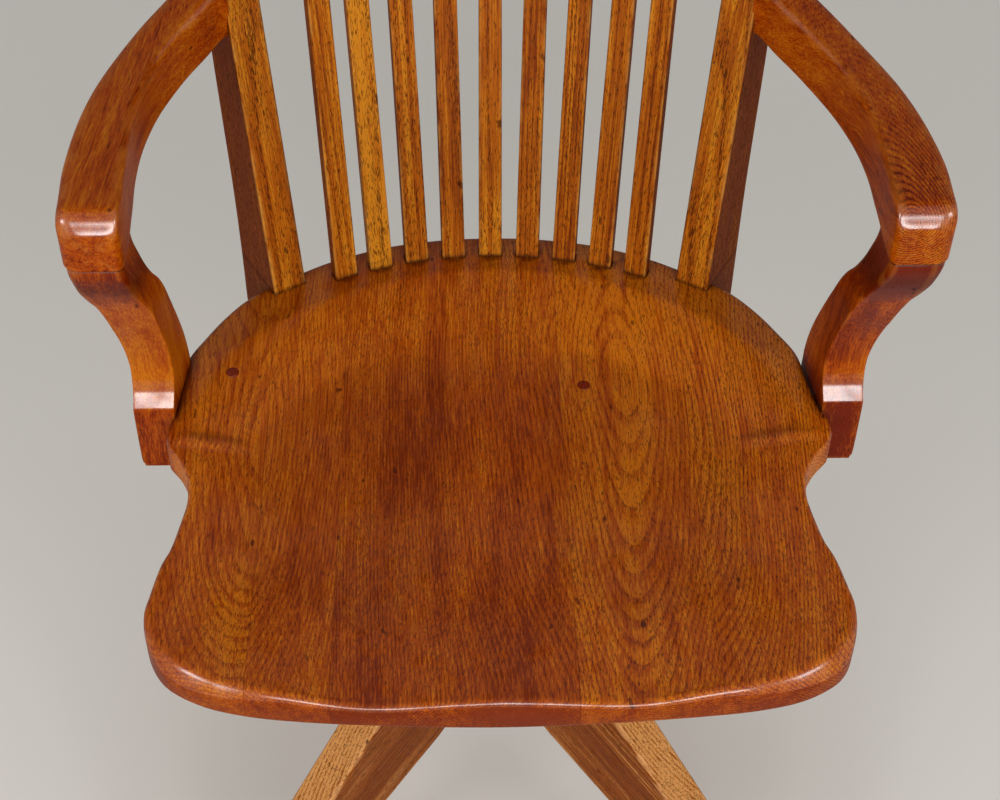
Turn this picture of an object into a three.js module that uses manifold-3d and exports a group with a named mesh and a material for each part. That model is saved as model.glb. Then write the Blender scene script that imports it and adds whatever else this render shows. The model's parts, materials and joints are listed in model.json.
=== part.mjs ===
// An oak swivel desk chair: a carved saddle seat of five glued boards, nine fanned slats and two raked
// posts under a bowed crest rail, open arms on S-shaped stumps, and a four-legged oak base on casters.
// The seat rises on a screw spindle, turns on it, and tips back against a coil spring.
// Millimetres, +Z up. The front faces -Y, and left and right are as seen from the front, right being +X.
// While it is built, the spindle's axis is x = 0, y = 0 and the floor is z = 0. At the end the whole
// chair is moved so that its origin is at the middle of its bounding box's base.

import * as THREE from "three";
import { mergeVertices } from "three/addons/utils/BufferGeometryUtils.js";
import Module from "manifold-3d";

const wasm = await Module();
wasm.setup();

// Clearances
const fit = 0.3; // gap between pieces that touch or turn in each other
const overrun = 2; // how far a cutting tool runs past the face that it leaves

// Seat, seen from above
const seatThick = 46;
const seatHalfWide = 249.5; // at the front corners
const seatDeep = 475;
const seatFront = -271; // the front edge, ahead of the spindle's axis
const seatEdgeRound = 5;
const seatUnderBevel = 16; // height of the bevel under the edge
const seatUnderIn = 24; // how far it goes in under the seat
// Outline of the seat's right half, from the middle of the front edge to the middle of the back, as
// shares of the half width and of the depth behind the front edge.
const seatOutlineShares = [
  [0, 0], [0.27, 0.004], [0.545, 0.014], [0.705, 0.027], [0.826, 0.047], [0.926, 0.08], [0.982, 0.126],
  [1, 0.173], [0.99, 0.21], [0.966, 0.267], [0.946, 0.299], [0.93, 0.351], [0.924, 0.396],
  [0.934, 0.425], [0.97, 0.471], [1.014, 0.509], [1.024, 0.528], [1.018, 0.549], [0.998, 0.569],
  [0.983, 0.635], [0.968, 0.699], [0.918, 0.744], [0.862, 0.795], [0.8, 0.842], [0.715, 0.881],
  [0.609, 0.918], [0.527, 0.942], [0.367, 0.975], [0.189, 0.994], [0, 1],
];
const stumpNearShares = [0.998, 0.569]; // where on that outline the stump's front stands
const stumpFarShares = [0.968, 0.699]; // and its rear
const boardJointShares = [-0.705, -0.473, 0.208]; // glue joints, across the half width
const jointToPost = 1.65; // from the last glue joint to the right post's hole
const outlineSteps = 84;
const ringShares = [0.955, 0.9, 0.82, 0.73, 0.62, 0.5, 0.37, 0.24, 0.11]; // rings of the carved top

// Seat: the carved top, as depths below the rim
const bowlDeep = 15;
const middleRise = 4; // the hollow is this much shallower along the middle
const middleWide = 60;
const frontDip = 10; // each side of the pommel
const frontDipAt = 95;
const frontDipWide = 58;
const cornerDrop = 6;
const cornerShares = [0.56, 0.86]; // of the half width, where the corners start and stop dropping
const bowlRun = 150; // over which the front edge's shape turns into the bowl
const creaseAhead = 17; // of the slats, where the hollow starts
const backRun = 105;
const sideRun = 75;
const waistShare = 0.62; // of the hollow that is left at the waist's edge
const lugShares = [0.5, 0.545]; // where, as shares of the depth, the edge rises to the lug's ridge

// Back
const slatCount = 9;
const slatWide = 19;
const slatTopWide = 17.6;
const slatThick = 11;
const slatFoot = 16; // tenon in the seat
const slatHead = 14; // tenon in the crest rail
const slatPitch = 30.5; // along the arc of their fronts
const slatArc = 295; // radius of the arc of the slats' fronts
const slatInset = 26; // ahead of the seat's back edge
const leanShare = 0.325; // backward lean, as a share of the height
const fanShare = 0.257; // how much wider the slats' places are at the rail than at the seat
const fanEaseShare = 0.3; // how much less the outermost slats spread
const postWide = 28.4;
const postDeep = 61;
const postTurn = 30.7; // degrees that a post's front face is turned inwards
const postFootShares = [0.707, 0.8478]; // front outer corner, of the seat's half width and depth
const postFanShare = 0.108; // sideways spread, as a share of the height
const postDepthShares = [[0, 1], [0.07, 0.95], [0.185, 0.885], [0.33, 0.84], [0.48, 0.79], [0.71, 0.67],
  [0.86, 0.54], [1, 0.36]];
const postDrop = 6; // how far the post's foot hangs below the seat
const postTenonShare = 0.55;
const railBottom = 352; // over the rim
const railHigh = 72;
const railThick = 32;
const railPast = 13.5; // beyond the posts' outer corners
const railArc = 560;
const railSteps = 18;
const railRound = 5;
const railEndShare = 0.42; // height of the rail's ends as a share of its height
const railTenonIn = 20;

// Arms
const stumpTop = 192; // joint with the arm, over the rim
const armThick = 45;
const armRise = 11; // how much higher the arm is at the post
const armRiseShare = 0.55; // of the arm's stations, where that rise starts
const armChamfer = 5;
// Stations from the knuckle to the post: the inner edge, then the outer, each as shares of the way from
// over the stump's inner front corner to the post's outer front corner, sideways and backwards. Then
// how far the underside is up and the top down at the knuckle, as shares of the arm's thickness.
const armStationShares = [
  [-0.066, -0.043, -0.48, -0.043, 0.289, 0.289],
  [-0.033, -0.031, -0.546, -0.031, 0.133, 0.156],
  [-0.008, -0.001, -0.612, -0.001, 0.011, 0.056],
  [0.008, 0.042, -0.67, 0.042, 0.0, 0.0],
  [0.008, 0.118, -0.703, 0.118, 0.0, 0.0],
  [0.0, 0.237, -0.712, 0.237, 0.0, 0.0],
  [0.008, 0.384, -0.645, 0.407, 0.0, 0.0],
  [0.058, 0.507, -0.53, 0.55, 0.0, 0.0],
  [0.199, 0.657, -0.347, 0.693, 0.0, 0.0],
  [0.455, 0.816, -0.05, 0.871, 0.0, 0.0],
  [0.745, 0.939, 0.265, 1.014, 0.0, 0.0],
  [0.894, 0.994, 0.513, 1.129, 0.0, 0.0],
  [1.009, 1.014, 0.712, 1.137, 0.0, 0.0],
];
const stumpWide = 31.5;
const stumpTopWide = 36.5;
const stumpOut = 11; // how far its top leans outward
const stumpFoot = 13; // below the seat
const stumpRound = 2.5;
// The stump's side view: share of its height, then its front and its rear as shares of the foot's depth
const stumpShares = [
  [0, 0, 0.983], [0.195, 0.01, 1], [0.243, 0.033, 0.992], [0.275, 0.083, 0.975], [0.343, 0.2, 0.925],
  [0.394, 0.208, 0.867], [0.478, 0.133, 0.733], [0.562, 0.017, 0.592], [0.622, -0.1, 0.475],
  [0.693, -0.225, 0.342], [0.761, -0.35, 0.233], [0.817, -0.483, 0.142], [0.873, -0.6, 0.117],
  [0.92, -0.7, 0.133], [0.964, -0.783, 0.183], [1, -0.833, 0.317],
];
const stumpDeep = 60;
const stumpScrewUp = 35; // over the stump's foot
const stumpScrewLong = 70;
const stumpScrewThick = 5;
const stumpScrewHead = 11;
const stumpScrewHeadDeep = 4;
const plugWide = 10;
const plugDeep = 8;
const plugShares = [[-0.822, 0.667], [0.285, 0.655]]; // places, of the half width and the depth

// Base
const baseTurn = 0.4; // degrees that the base is turned against the seat, as it was left
const hubFlat = 88; // across the hub's flats
const hubLow = 132;
const hubHigh = 285;
const hubChamfer = 7;
const hubSides = 8;
const legCount = 4;
const legThick = 33;
const legRound = 1.8;
const legReach = 292; // from the axis to the toe
// The leg's outline: from the axis as a share of the reach, height as a share of the hub's top
const legTopShares = [
  [0, 0.9232], [0.24, 0.94], [0.318, 0.925], [0.377, 0.881], [0.445, 0.819], [0.531, 0.744],
  [0.74, 0.558], [0.839, 0.47], [0.918, 0.405], [0.969, 0.354], [0.993, 0.316], [1, 0.281],
];
const legLowShares = [[0.74, 0.2446], [0.531, 0.332], [0.291, 0.435], [0.205, 0.484], [0, 0.5723]];
const legPadShare = 0.781; // of the reach, where the pad starts
const legToeShare = 0.985;
const legTenonWide = 18;
const legTenonLong = 15;
const legTenonInset = 16; // from the leg's top and bottom at the hub

// Height screw
const flangeWide = 76;
const flangeThick = 4;
const bushWide = 32;
const bushLong = 100;
const spindleWide = 22;
const spindleShort = 28; // how far its foot is over the hub's underside
const spindleShown = 27; // between the nut and the tilt iron
const nutHigh = 14;
const nutWide = 70;
const nutLobes = 6;
const nutLobeWide = 16;

// Tilt iron
const pinWide = 12;
const pinPast = 3; // each side of the yoke
const bossWide = 52;
const bossTall = 44;
const socketTop = 7; // thickness over the spindle's end
const pivotOver = 14; // over the boss
const pivotDrop = 26; // under the seat
const earThick = 6;
const earAt = 44; // inner face of a seat iron ear
const earHalf = 13;
const cheekThick = 9;
const beamUnder = 16; // below the pivot
const beamThick = 14;
const beamHalf = 12;
const boltOut = 100; // ahead of the pivot
const tiltMost = 15; // degrees
const boltWide = 10;
const boltPast = 3; // below the knob
const boltHeadLong = 30;
const bracketThick = 5;
const bracketHalf = 10;
const armUnder = 30; // below the pivot
const armIronThick = 10;
const armIronHalf = 20;
const armIronPast = 17; // beyond the bolt
const slotLong = 18;
const slotWide = 13;
const stopAt = 66; // ahead of the pivot
const stopThick = 8;
const stopHalf = 17;
const ironThick = 5;
const railIronIn = 40;
const railIronWide = 24;
const ironFront = 118;
const ironBack = 100;
const crossWide = 30;
const crossHalf = 100;
const stopBarWide = 20;
const screwInset = 14; // from the ends of the cross bars
const screwThick = 5;
const screwHeadWide = 11;
const screwHeadDeep = 3;
const screwLong = 26;

// Spring and tension knob
const springTurns = 4.5;
const springWire = 4.2;
const springMid = 30; // diameter at the middle of the wire
const springLong = 48;
const wireSides = 5;
const turnSteps = 8;
const cupThick = 4;
const cupWide = 40;
const knobHigh = 17;
const knobWide = 36;
const knobLobes = 5;
const knobLobeWide = 14;

// Casters
const casterIn = 24; // from the toe
const casterTurns = [24, 151, -62, 205]; // degrees, as they were left
const wheelWide = 20;
const wheelRound = 48; // diameter
const wheelShoulder = 4;
const trail = 17;
const socketFlange = 34;
const socketFlangeThick = 3;
const sleeveWide = 15;
const sleeveLong = 28;
const stemWide = 10;
const stemShort = 4; // the stem ends this much below the sleeve's top
const crownThick = 6;
const crownNarrowShare = 0.7;
const eyeShare = 0.7; // of the fork's eye, to its corners
const crownOver = 8.5; // over the wheel
const crownGap = 0.5;
const hornThick = 3.5;
const wheelGap = 1.2;
const axleWide = 7;
const axlePast = 2;

// Sides of round pieces
const fineSides = 24;
const coarseSides = 16;
const smallSides = 12;

// Finishes
const finish = (color, roughness, metalness) => (
  new THREE.MeshStandardMaterial({ color, roughness, metalness })
);
const oak = (colour, roughness) => finish(colour, roughness, 0);
const metal = (colour, roughness) => finish(colour, roughness, 0.85);
const finishes = {
  seat_oak: oak(0x8a4216, 0.32),
  slat_oak: oak(0xb06a22, 0.42),
  arm_oak: oak(0x9a4c18, 0.28),
  leg_oak: oak(0xa8641f, 0.4),
  plug_wood: oak(0x6e1f0c, 0.4),
  black_iron: metal(0x2b2927, 0.6),
  bright_steel: metal(0x8d8a84, 0.38),
  wheel_wood: oak(0x3a2114, 0.45),
};

// Solids

function solid(geometry) {
  const bare = geometry.clone();
  bare.deleteAttribute("normal");
  bare.deleteAttribute("uv");
  const merged = mergeVertices(bare);
  const vertProperties = new Float32Array(merged.attributes.position.array);
  const triVerts = Uint32Array.from(merged.index.array);
  return new wasm.Manifold(new wasm.Mesh({ numProp: 3, vertProperties, triVerts }));
}

function geometryOf(shape) {
  const mesh = shape.getMesh();
  const geometry = new THREE.BufferGeometry();
  geometry.setAttribute("position", new THREE.BufferAttribute(mesh.vertProperties, mesh.numProp));
  geometry.setIndex(new THREE.BufferAttribute(mesh.triVerts, 1));
  return geometry;
}

const chair = new THREE.Group();

function piece(name, shape, finishName, parent = chair) {
  const geometry = shape.isBufferGeometry ? shape : geometryOf(shape);
  geometry.computeVertexNormals();
  const mesh = new THREE.Mesh(geometry, finishes[finishName].clone());
  mesh.name = name;
  parent.add(mesh);
  return mesh;
}

// A block between two corners.
function block(x0, x1, y0, y1, z0, z1) {
  const geometry = new THREE.BoxGeometry(x1 - x0, y1 - y0, z1 - z0);
  geometry.translate((x0 + x1) / 2, (y0 + y1) / 2, (z0 + z1) / 2);
  return solid(geometry);
}

// A body turned about the Z axis. The profile is a closed list of radius and height.
function turned(profile, sides) {
  const points = profile.map(([r, z]) => new THREE.Vector2(r, z));
  const geometry = new THREE.LatheGeometry(points, sides);
  geometry.rotateX(Math.PI / 2);
  return facingOut(geometry);
}

function rod(radius, z0, z1, sides) {
  return turned([[0, z0], [radius, z0], [radius, z1], [0, z1]], sides);
}

// Radius of a faceted hole that a faceted rod turns in with the given gap.
function holeRadius(radius, sides, gap = fit) {
  return (radius + gap) / Math.cos(Math.PI / sides);
}

// A flat outline of [u, v] points, thickened from w0 to w1. The outline's u, v and w become x, y and z.
// Its arrises are cut back by the bevel.
function plate(outline, w0, w1, bevel = 0) {
  const shape = new THREE.Shape(outline.map(([u, v]) => new THREE.Vector2(u, v)));
  const geometry = new THREE.ExtrudeGeometry(shape, {
    depth: w1 - w0 - 2 * bevel, bevelEnabled: bevel > 0, bevelThickness: bevel, bevelSize: bevel,
    bevelOffset: -bevel, bevelSegments: 1,
  });
  geometry.translate(0, 0, w0 + bevel);
  return geometry;
}

// Swaps the axes of a plate so that its u, v, w run along x, z, -y.
function uprightAlong(geometry) {
  return geometry.rotateX(Math.PI / 2);
}

function facingOut(geometry) {
  const shape = solid(geometry);
  if (shape.volume() > 0) return shape;
  const flipped = mergeVertices(geometry.deleteAttribute("normal").deleteAttribute("uv"));
  const index = flipped.index.array;
  for (let i = 0; i < index.length; i += 3) [index[i], index[i + 1]] = [index[i + 1], index[i]];
  return solid(flipped);
}

// A skin over closed rings of points, with a fan of faces from the middle of each end ring.
function loft(rings) {
  const count = rings[0].length;
  const points = rings.flat();
  const index = [];
  for (let ring = 0; ring + 1 < rings.length; ring += 1) {
    for (let i = 0; i < count; i += 1) {
      const a = ring * count + i;
      const b = ring * count + ((i + 1) % count);
      index.push(a, b, b + count, a, b + count, a + count);
    }
  }
  for (const [ring, forward] of [[0, false], [rings.length - 1, true]]) {
    const middle = new THREE.Vector3();
    rings[ring].forEach((point) => middle.addScaledVector(point, 1 / count));
    const hub = points.length;
    points.push(middle);
    for (let i = 0; i < count; i += 1) {
      const a = ring * count + i;
      const b = ring * count + ((i + 1) % count);
      index.push(...(forward ? [a, b, hub] : [b, a, hub]));
    }
  }
  const geometry = new THREE.BufferGeometry();
  const places = new Float32Array(points.flatMap((point) => point.toArray()));
  geometry.setAttribute("position", new THREE.BufferAttribute(places, 3));
  geometry.setIndex(index);
  geometry.setAttribute("normal", geometry.attributes.position.clone());
  geometry.setAttribute("uv", geometry.attributes.position.clone());
  return facingOut(geometry);
}

function smooth(from, to, value) {
  const t = Math.min(Math.max((value - from) / (to - from), 0), 1);
  return t * t * (3 - 2 * t);
}

const mix = (a, b, t) => a + (b - a) * t;
const bump = (value) => Math.exp(-value * value);
const radians = THREE.MathUtils.degToRad;

// Heights, from the floor to the legs' pads
const axleHigh = wheelRound / 2;
const crownHigh = wheelRound + crownOver + crownThick;
const flangeLow = crownHigh + crownGap;
const padHigh = flangeLow + socketFlangeThick;

// Heights, from the hub to the seat
const nutLow = hubHigh + flangeThick;
const bossLow = nutLow + nutHigh + spindleShown;
const bossHigh = bossLow + bossTall;
const pivotHigh = bossHigh + pivotOver;
const seatUnder = pivotHigh + pivotDrop;
const seatTop = seatUnder + seatThick;

const behindFront = (distance) => seatFront + distance;
const seatPoint = ([across, deep], side = 1) => [side * across * seatHalfWide, behindFront(deep * seatDeep)];

function seatOutline() {
  const right = seatOutlineShares.map((share) => seatPoint(share));
  const left = seatOutlineShares.slice(1, -1).map((share) => seatPoint(share, -1)).reverse();
  const points = [...right, ...left].map(([x, y]) => new THREE.Vector3(x, y, 0));
  const curve = new THREE.CatmullRomCurve3(points, true, "centripetal");
  return curve.getSpacedPoints(outlineSteps).slice(0, -1);
}

// Half the seat's width at a place behind its front edge, straight between the outline's points.
function halfWidthAt(y) {
  const points = seatOutlineShares.map((share) => seatPoint(share));
  for (let i = 1; i < points.length; i += 1) {
    const [x0, y0] = points[i - 1];
    const [x1, y1] = points[i];
    if (y >= y0 && y <= y1) return mix(x0, x1, (y - y0) / (y1 - y0));
  }
  return 0;
}

const slatArcCentre = behindFront(seatDeep - slatInset) - slatArc;

function seatTopAt(x, y) {
  const across = Math.abs(x);
  const dips = frontDip * bump((across - frontDipAt) / frontDipWide);
  const front = dips + cornerDrop * smooth(cornerShares[0], cornerShares[1], across / seatHalfWide);
  const bowl = bowlDeep - middleRise * bump(x / middleWide);
  const core = mix(front, bowl, smooth(0, bowlRun, y - seatFront));
  const back = smooth(0, backRun, slatArc - creaseAhead - Math.hypot(x, y - slatArcCentre));
  const edge = smooth(0, sideRun, halfWidthAt(y) - across);
  const ahead = 1 - smooth(lugShares[0], lugShares[1], (y - seatFront) / seatDeep);
  const side = mix(edge, mix(waistShare, 1, edge), ahead);
  return seatTop - core * back * side;
}

function seatBlank() {
  const outline = seatOutline();
  const middle = new THREE.Vector2(0, behindFront(seatDeep / 2));
  const inward = (point, share) => [mix(middle.x, point.x, share), mix(middle.y, point.y, share)];
  const inset = (point, distance) => 1 - distance / Math.hypot(point.x - middle.x, point.y - middle.y);
  const ring = (shareOf, heightOf) => outline.map((point) => {
    const [x, y] = inward(point, shareOf(point));
    return new THREE.Vector3(x, y, heightOf(x, y));
  });
  const rings = [
    ring((p) => inset(p, seatUnderIn), () => seatUnder),
    ring(() => 1, () => seatUnder + seatUnderBevel),
    ring(() => 1, (x, y) => seatTopAt(x, y) - seatEdgeRound),
    ring((p) => inset(p, seatEdgeRound / 4), (x, y) => seatTopAt(x, y) - seatEdgeRound / 3),
    ring((p) => inset(p, seatEdgeRound), (x, y) => seatTopAt(x, y)),
  ];
  for (const share of ringShares) rings.push(ring(() => share, seatTopAt));
  return loft(rings);
}

// Back: places of the slats and posts

const slatFarthest = slatArc * Math.sin((slatCount - 1) / 2 * slatPitch / slatArc);
const fanned = (x, up) => (
  x * (1 + fanShare * up / railBottom * (1 - fanEaseShare * (x / slatFarthest) ** 4))
);

// The four corners of a slat's section at a height over the rim. The front face lies on the slats' arc.
function slatRing(x, up, wide, thick, setBack = 0) {
  const turn = Math.asin(x / slatArc);
  const along = new THREE.Vector3(Math.cos(turn), -Math.sin(turn), 0);
  const out = new THREE.Vector3(Math.sin(turn), Math.cos(turn), 0);
  const y = slatArcCentre + slatArc * Math.cos(turn) + leanShare * up;
  const front = new THREE.Vector3(fanned(x, up), y, seatTop + up).addScaledVector(out, setBack);
  const corner = (a, b) => front.clone().addScaledVector(along, a * wide / 2).addScaledVector(out, b * thick);
  return [corner(-1, 0), corner(1, 0), corner(1, 1), corner(-1, 1)];
}

function slat(x, gap = 0) {
  const widthAt = (up) => mix(slatWide, slatTopWide, up / railBottom) + 2 * gap;
  const at = (up) => slatRing(x, up, widthAt(up), slatThick + 2 * gap, -gap);
  return loft([at(-slatFoot - gap), at(railBottom + slatHead + gap)]);
}

const slatPlaces = Array.from({ length: slatCount }, (_, i) => (
  slatArc * Math.sin((i - (slatCount - 1) / 2) * slatPitch / slatArc)
));

// The four corners of a right post's section: front outer, front inner, rear inner, rear outer.
function postRing(up, depthShare, grow, widthShare = 1) {
  const turn = radians(postTurn);
  const inward = new THREE.Vector3(-Math.cos(turn), Math.sin(turn), 0);
  const back = new THREE.Vector3(Math.sin(turn), Math.cos(turn), 0);
  const lean = Math.max(up, 0);
  const [x, y] = seatPoint(postFootShares);
  const start = new THREE.Vector3(x + postFanShare * lean, y + leanShare * lean, seatTop + up);
  const deep = postDeep * depthShare;
  const w0 = postWide * (1 - widthShare) / 2;
  const d0 = deep * (1 - widthShare) / 2;
  const corner = (w, d) => start.clone().addScaledVector(inward, w).addScaledVector(back, d);
  const near = d0 - grow;
  const far = deep - d0 + grow;
  return [
    corner(w0 - grow, near), corner(postWide - w0 + grow, near),
    corner(postWide - w0 + grow, far), corner(w0 - grow, far),
  ];
}

function post(grow = 0) {
  const rings = [postRing(-seatThick - postDrop - grow, 1, grow)];
  for (const [share, deep] of postDepthShares) rings.push(postRing(share * railBottom, deep, grow));
  const top = postDepthShares.at(-1)[1];
  rings.push(postRing(railBottom, top, grow, postTenonShare));
  rings.push(postRing(railBottom + railTenonIn + grow, top, grow, postTenonShare));
  return loft(rings);
}

const mirrored = (shape) => shape.mirror([1, 0, 0]);

function crestRail() {
  const railHalf = seatPoint(postFootShares)[0] + postFanShare * railBottom + railPast;
  const front = slatArcCentre + slatArc + leanShare * railBottom - (railThick - slatThick) / 2;
  const sagAt = (x) => railArc - Math.sqrt(railArc * railArc - x * x);
  const rings = [];
  for (let step = 0; step <= railSteps; step += 1) {
    const place = Math.sin((step / railSteps - 1 / 2) * Math.PI);
    const x = place * railHalf;
    const high = railHigh * mix(railEndShare, 1, Math.sqrt(1 - place ** 6));
    const round = Math.min(railRound, high / 4);
    const turn = Math.asin(x / railArc);
    const section = [[0, 0], [railThick, 0], [railThick, high - round], [railThick - round, high],
      [round, high], [0, high - round]];
    rings.push(section.map(([deep, up]) => new THREE.Vector3(
      x + deep * Math.sin(turn),
      front - sagAt(x) + leanShare * up + deep * Math.cos(turn),
      seatTop + railBottom + up,
    )));
  }
  return loft(rings);
}

// Arms

// The corners that the arm runs between: over the stump's inner front, and the post's outer front.
function armEnds() {
  const front = stumpShares.at(-1)[1] * stumpDeep;
  const [stump, post] = [stumpNearShares, postFootShares].map((share) => seatPoint(share));
  const up = stumpTop + armThick / 2;
  return [[stump[0] + stumpOut, stump[1] + front], [post[0] + postFanShare * up, post[1] + leanShare * up]];
}

function armRing([xi, yi, xo, yo, lift, drop], rise) {
  const [knuckle, atPost] = armEnds();
  const low = seatTop + stumpTop + rise + lift * armThick;
  const high = seatTop + stumpTop + armThick + rise - drop * armThick;
  const inner = [mix(knuckle[0], atPost[0], xi), mix(knuckle[1], atPost[1], yi)];
  const outer = [mix(knuckle[0], atPost[0], xo), mix(knuckle[1], atPost[1], yo)];
  const tall = Math.min(armChamfer, (high - low) / 4);
  const cut = tall / Math.hypot(outer[0] - inner[0], outer[1] - inner[1]);
  const at = (share, z) => (
    new THREE.Vector3(mix(inner[0], outer[0], share), mix(inner[1], outer[1], share), z)
  );
  return [
    at(cut, low), at(1 - cut, low), at(1, low + tall), at(1, high - tall),
    at(1 - cut, high), at(cut, high), at(0, high - tall), at(0, low + tall),
  ];
}

function arm() {
  const last = armStationShares.length - 1;
  const riseAt = (i) => armRise * smooth(armRiseShare, 1, i / last);
  return loft(armStationShares.map((station, i) => armRing(station, riseAt(i))));
}

// A right stump stands on a stretch of the seat's outline. Its foot is upright and its neck leans outward.
const stumpHigh = stumpTop + seatThick + stumpFoot;
const stumpBase = seatTop + stumpTop - stumpHigh;
const stumpNear = seatPoint(stumpNearShares);
const stumpFar = seatPoint(stumpFarShares);
const stumpTurn = Math.atan2(stumpNear[0] - stumpFar[0], stumpFar[1] - stumpNear[1]);

// Moves a point that is given as away from the seat's edge, behind the stump's front and up from its
// foot to its place on the seat's right edge.
function onSeatEdge(point) {
  return point.applyAxisAngle(new THREE.Vector3(0, 0, 1), stumpTurn)
    .add(new THREE.Vector3(stumpNear[0], stumpNear[1], stumpBase));
}

function stump(grow = 0) {
  return loft(stumpShares.map(([up, front, rear], i) => {
    const high = up * stumpHigh;
    const lean = stumpOut * Math.max(0, (high - stumpHigh + stumpTop) / stumpTop);
    const x0 = fit + lean - grow;
    const x1 = fit + lean + mix(stumpWide, stumpTopWide, up) + grow;
    const y0 = front * stumpDeep - grow;
    const y1 = rear * stumpDeep + grow;
    const end = i === 0 ? -grow : 0;
    const corner = stumpRound;
    const section = [[x0 + corner, y0], [x1 - corner, y0], [x1, y0 + corner], [x1, y1 - corner],
      [x1 - corner, y1], [x0 + corner, y1], [x0, y1 - corner], [x0, y0 + corner]];
    return section.map(([x, y]) => onSeatEdge(new THREE.Vector3(x, y, high + end)));
  }));
}

// A rod along x, its middle at the given y and z.
function crossRod(radius, x0, x1, y, z, sides) {
  return rod(radius, x0, x1, sides).rotate([0, 90, 0]).translate([0, y, z]);
}

function stumpScrew(grow = 0) {
  const head = stumpScrewHead / 2 + grow;
  const shank = stumpScrewThick / 2 + grow;
  const face = fit + mix(stumpWide, stumpTopWide, stumpScrewUp / stumpHigh);
  const end = face - stumpScrewLong - grow;
  const profile = [[0, end], [shank, end], [shank, face - stumpScrewHeadDeep], [head, face], [0, face]];
  if (grow > 0) profile.splice(4, 0, [head, face + overrun]);
  const last = profile.at(-1);
  last[1] = profile.at(-2)[1];
  const turn = THREE.MathUtils.radToDeg(stumpTurn);
  return turned(profile, smallSides).rotate([0, 90, 0]).translate([0, stumpDeep / 2, stumpScrewUp])
    .rotate([0, 0, turn]).translate([stumpNear[0], stumpNear[1], stumpBase]);
}

// Under the seat

const ironTop = seatUnder;
const ironLow = seatUnder - ironThick;
const halfTilt = radians(tiltMost / 2);
const boltPinHigh = pivotHigh - boltOut * Math.tan(halfTilt);
const armTop = pivotHigh - armUnder;
const springTop = armTop - armIronThick - fit;
const springFoot = springTop - springLong;
const cupLow = springFoot - cupThick;
const knobTop = cupLow - fit;
const screwPlaces = [-1, 1].flatMap((side) => [crossWide / 2 - ironFront, ironBack - crossWide / 2]
  .map((y) => [side * (crossHalf - screwInset), y]));

function seatScrew([x, y], grow = 0) {
  const shank = screwThick / 2 + grow;
  const head = screwHeadWide / 2 + grow;
  const top = ironTop + screwLong + grow;
  const profile = [[0, top], [shank, top], [shank, ironLow], [head, ironLow], [head, ironLow - screwHeadDeep],
    [0, ironLow - screwHeadDeep]];
  return turned(profile, smallSides).translate([x, y, 0]);
}

function seatIron() {
  let iron = block(-crossHalf, crossHalf, -ironFront, -ironFront + crossWide, ironLow, ironTop);
  iron = iron.add(block(-crossHalf, crossHalf, ironBack - crossWide, ironBack, ironLow, ironTop));
  const stopBar = [-stopAt - stopBarWide / 2, -stopAt + stopBarWide / 2];
  iron = iron.add(block(-railIronIn, railIronIn, ...stopBar, ironLow, ironTop));
  for (const side of [-1, 1]) {
    const rail = [side * railIronIn, side * (railIronIn + railIronWide)].sort((a, b) => a - b);
    iron = iron.add(block(...rail, -ironFront, ironBack, ironLow, ironTop));
    iron = iron.add(ear(side * earAt, side * (earAt + earThick), 0, pivotHigh, earHalf));
    const bracketIn = side * (boltWide / 2 + fit);
    const bracketOut = bracketIn + side * bracketThick;
    iron = iron.add(ear(bracketIn, bracketOut, -boltOut, boltPinHigh, bracketHalf));
  }
  const pinHole = holeRadius(pinWide / 2, fineSides);
  iron = iron.subtract(crossRod(pinHole, -crossHalf, crossHalf, 0, pivotHigh, fineSides));
  const boltHole = holeRadius(boltWide / 2, smallSides);
  iron = iron.subtract(crossRod(boltHole, -railIronIn, railIronIn, -boltOut, boltPinHigh, smallSides));
  const hole = rod(holeRadius(screwThick / 2, smallSides), ironLow - overrun, ironTop + overrun, smallSides);
  for (const place of screwPlaces) iron = iron.subtract(hole.translate([...place, 0]));
  return iron;
}

// An ear that hangs from the seat iron, round below a pin's axis.
function ear(xa, xb, y, z, half) {
  const [x0, x1] = [Math.min(xa, xb), Math.max(xa, xb)];
  return block(x0, x1, y - half, y + half, z, ironLow).add(crossRod(half, x0, x1, y, z, coarseSides));
}

function yoke() {
  const beamTop = pivotHigh - beamUnder;
  const cheekIn = earAt + earThick + fit;
  const cheekOut = cheekIn + cheekThick;
  let iron = rod(bossWide / 2, bossLow, bossHigh, fineSides);
  iron = iron.add(block(-cheekOut, cheekOut, -beamHalf, beamHalf, beamTop - beamThick, beamTop));
  for (const side of [-1, 1]) {
    const [x0, x1] = [side * cheekIn, side * cheekOut].sort((a, b) => a - b);
    iron = iron.add(block(x0, x1, -beamHalf, beamHalf, beamTop - beamThick, pivotHigh));
    iron = iron.add(crossRod(beamHalf, x0, x1, 0, pivotHigh, coarseSides));
  }
  const tip = -boltOut - armIronPast;
  iron = iron.add(block(-armIronHalf, armIronHalf, tip, 0, armTop - armIronThick, armTop));
  const stop = [-stopAt - stopThick / 2, -stopAt + stopThick / 2];
  iron = iron.add(block(-stopHalf, stopHalf, ...stop, armTop - overrun, ironLow - fit));
  const slot = [-boltOut - slotLong / 2, -boltOut + slotLong / 2];
  iron = iron.subtract(block(-slotWide / 2, slotWide / 2, ...slot, bossLow, armTop + overrun));
  const socket = holeRadius(spindleWide / 2, fineSides);
  iron = iron.subtract(rod(socket, bossLow - overrun, bossHigh - socketTop, fineSides));
  const eye = holeRadius(pinWide / 2, fineSides);
  return iron.subtract(crossRod(eye, -cheekOut - overrun, cheekOut + overrun, 0, pivotHigh, fineSides));
}

function tiltPin() {
  const half = earAt + earThick + fit + cheekThick + pinPast;
  return crossRod(pinWide / 2, -half, half, 0, pivotHigh, fineSides);
}

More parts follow.
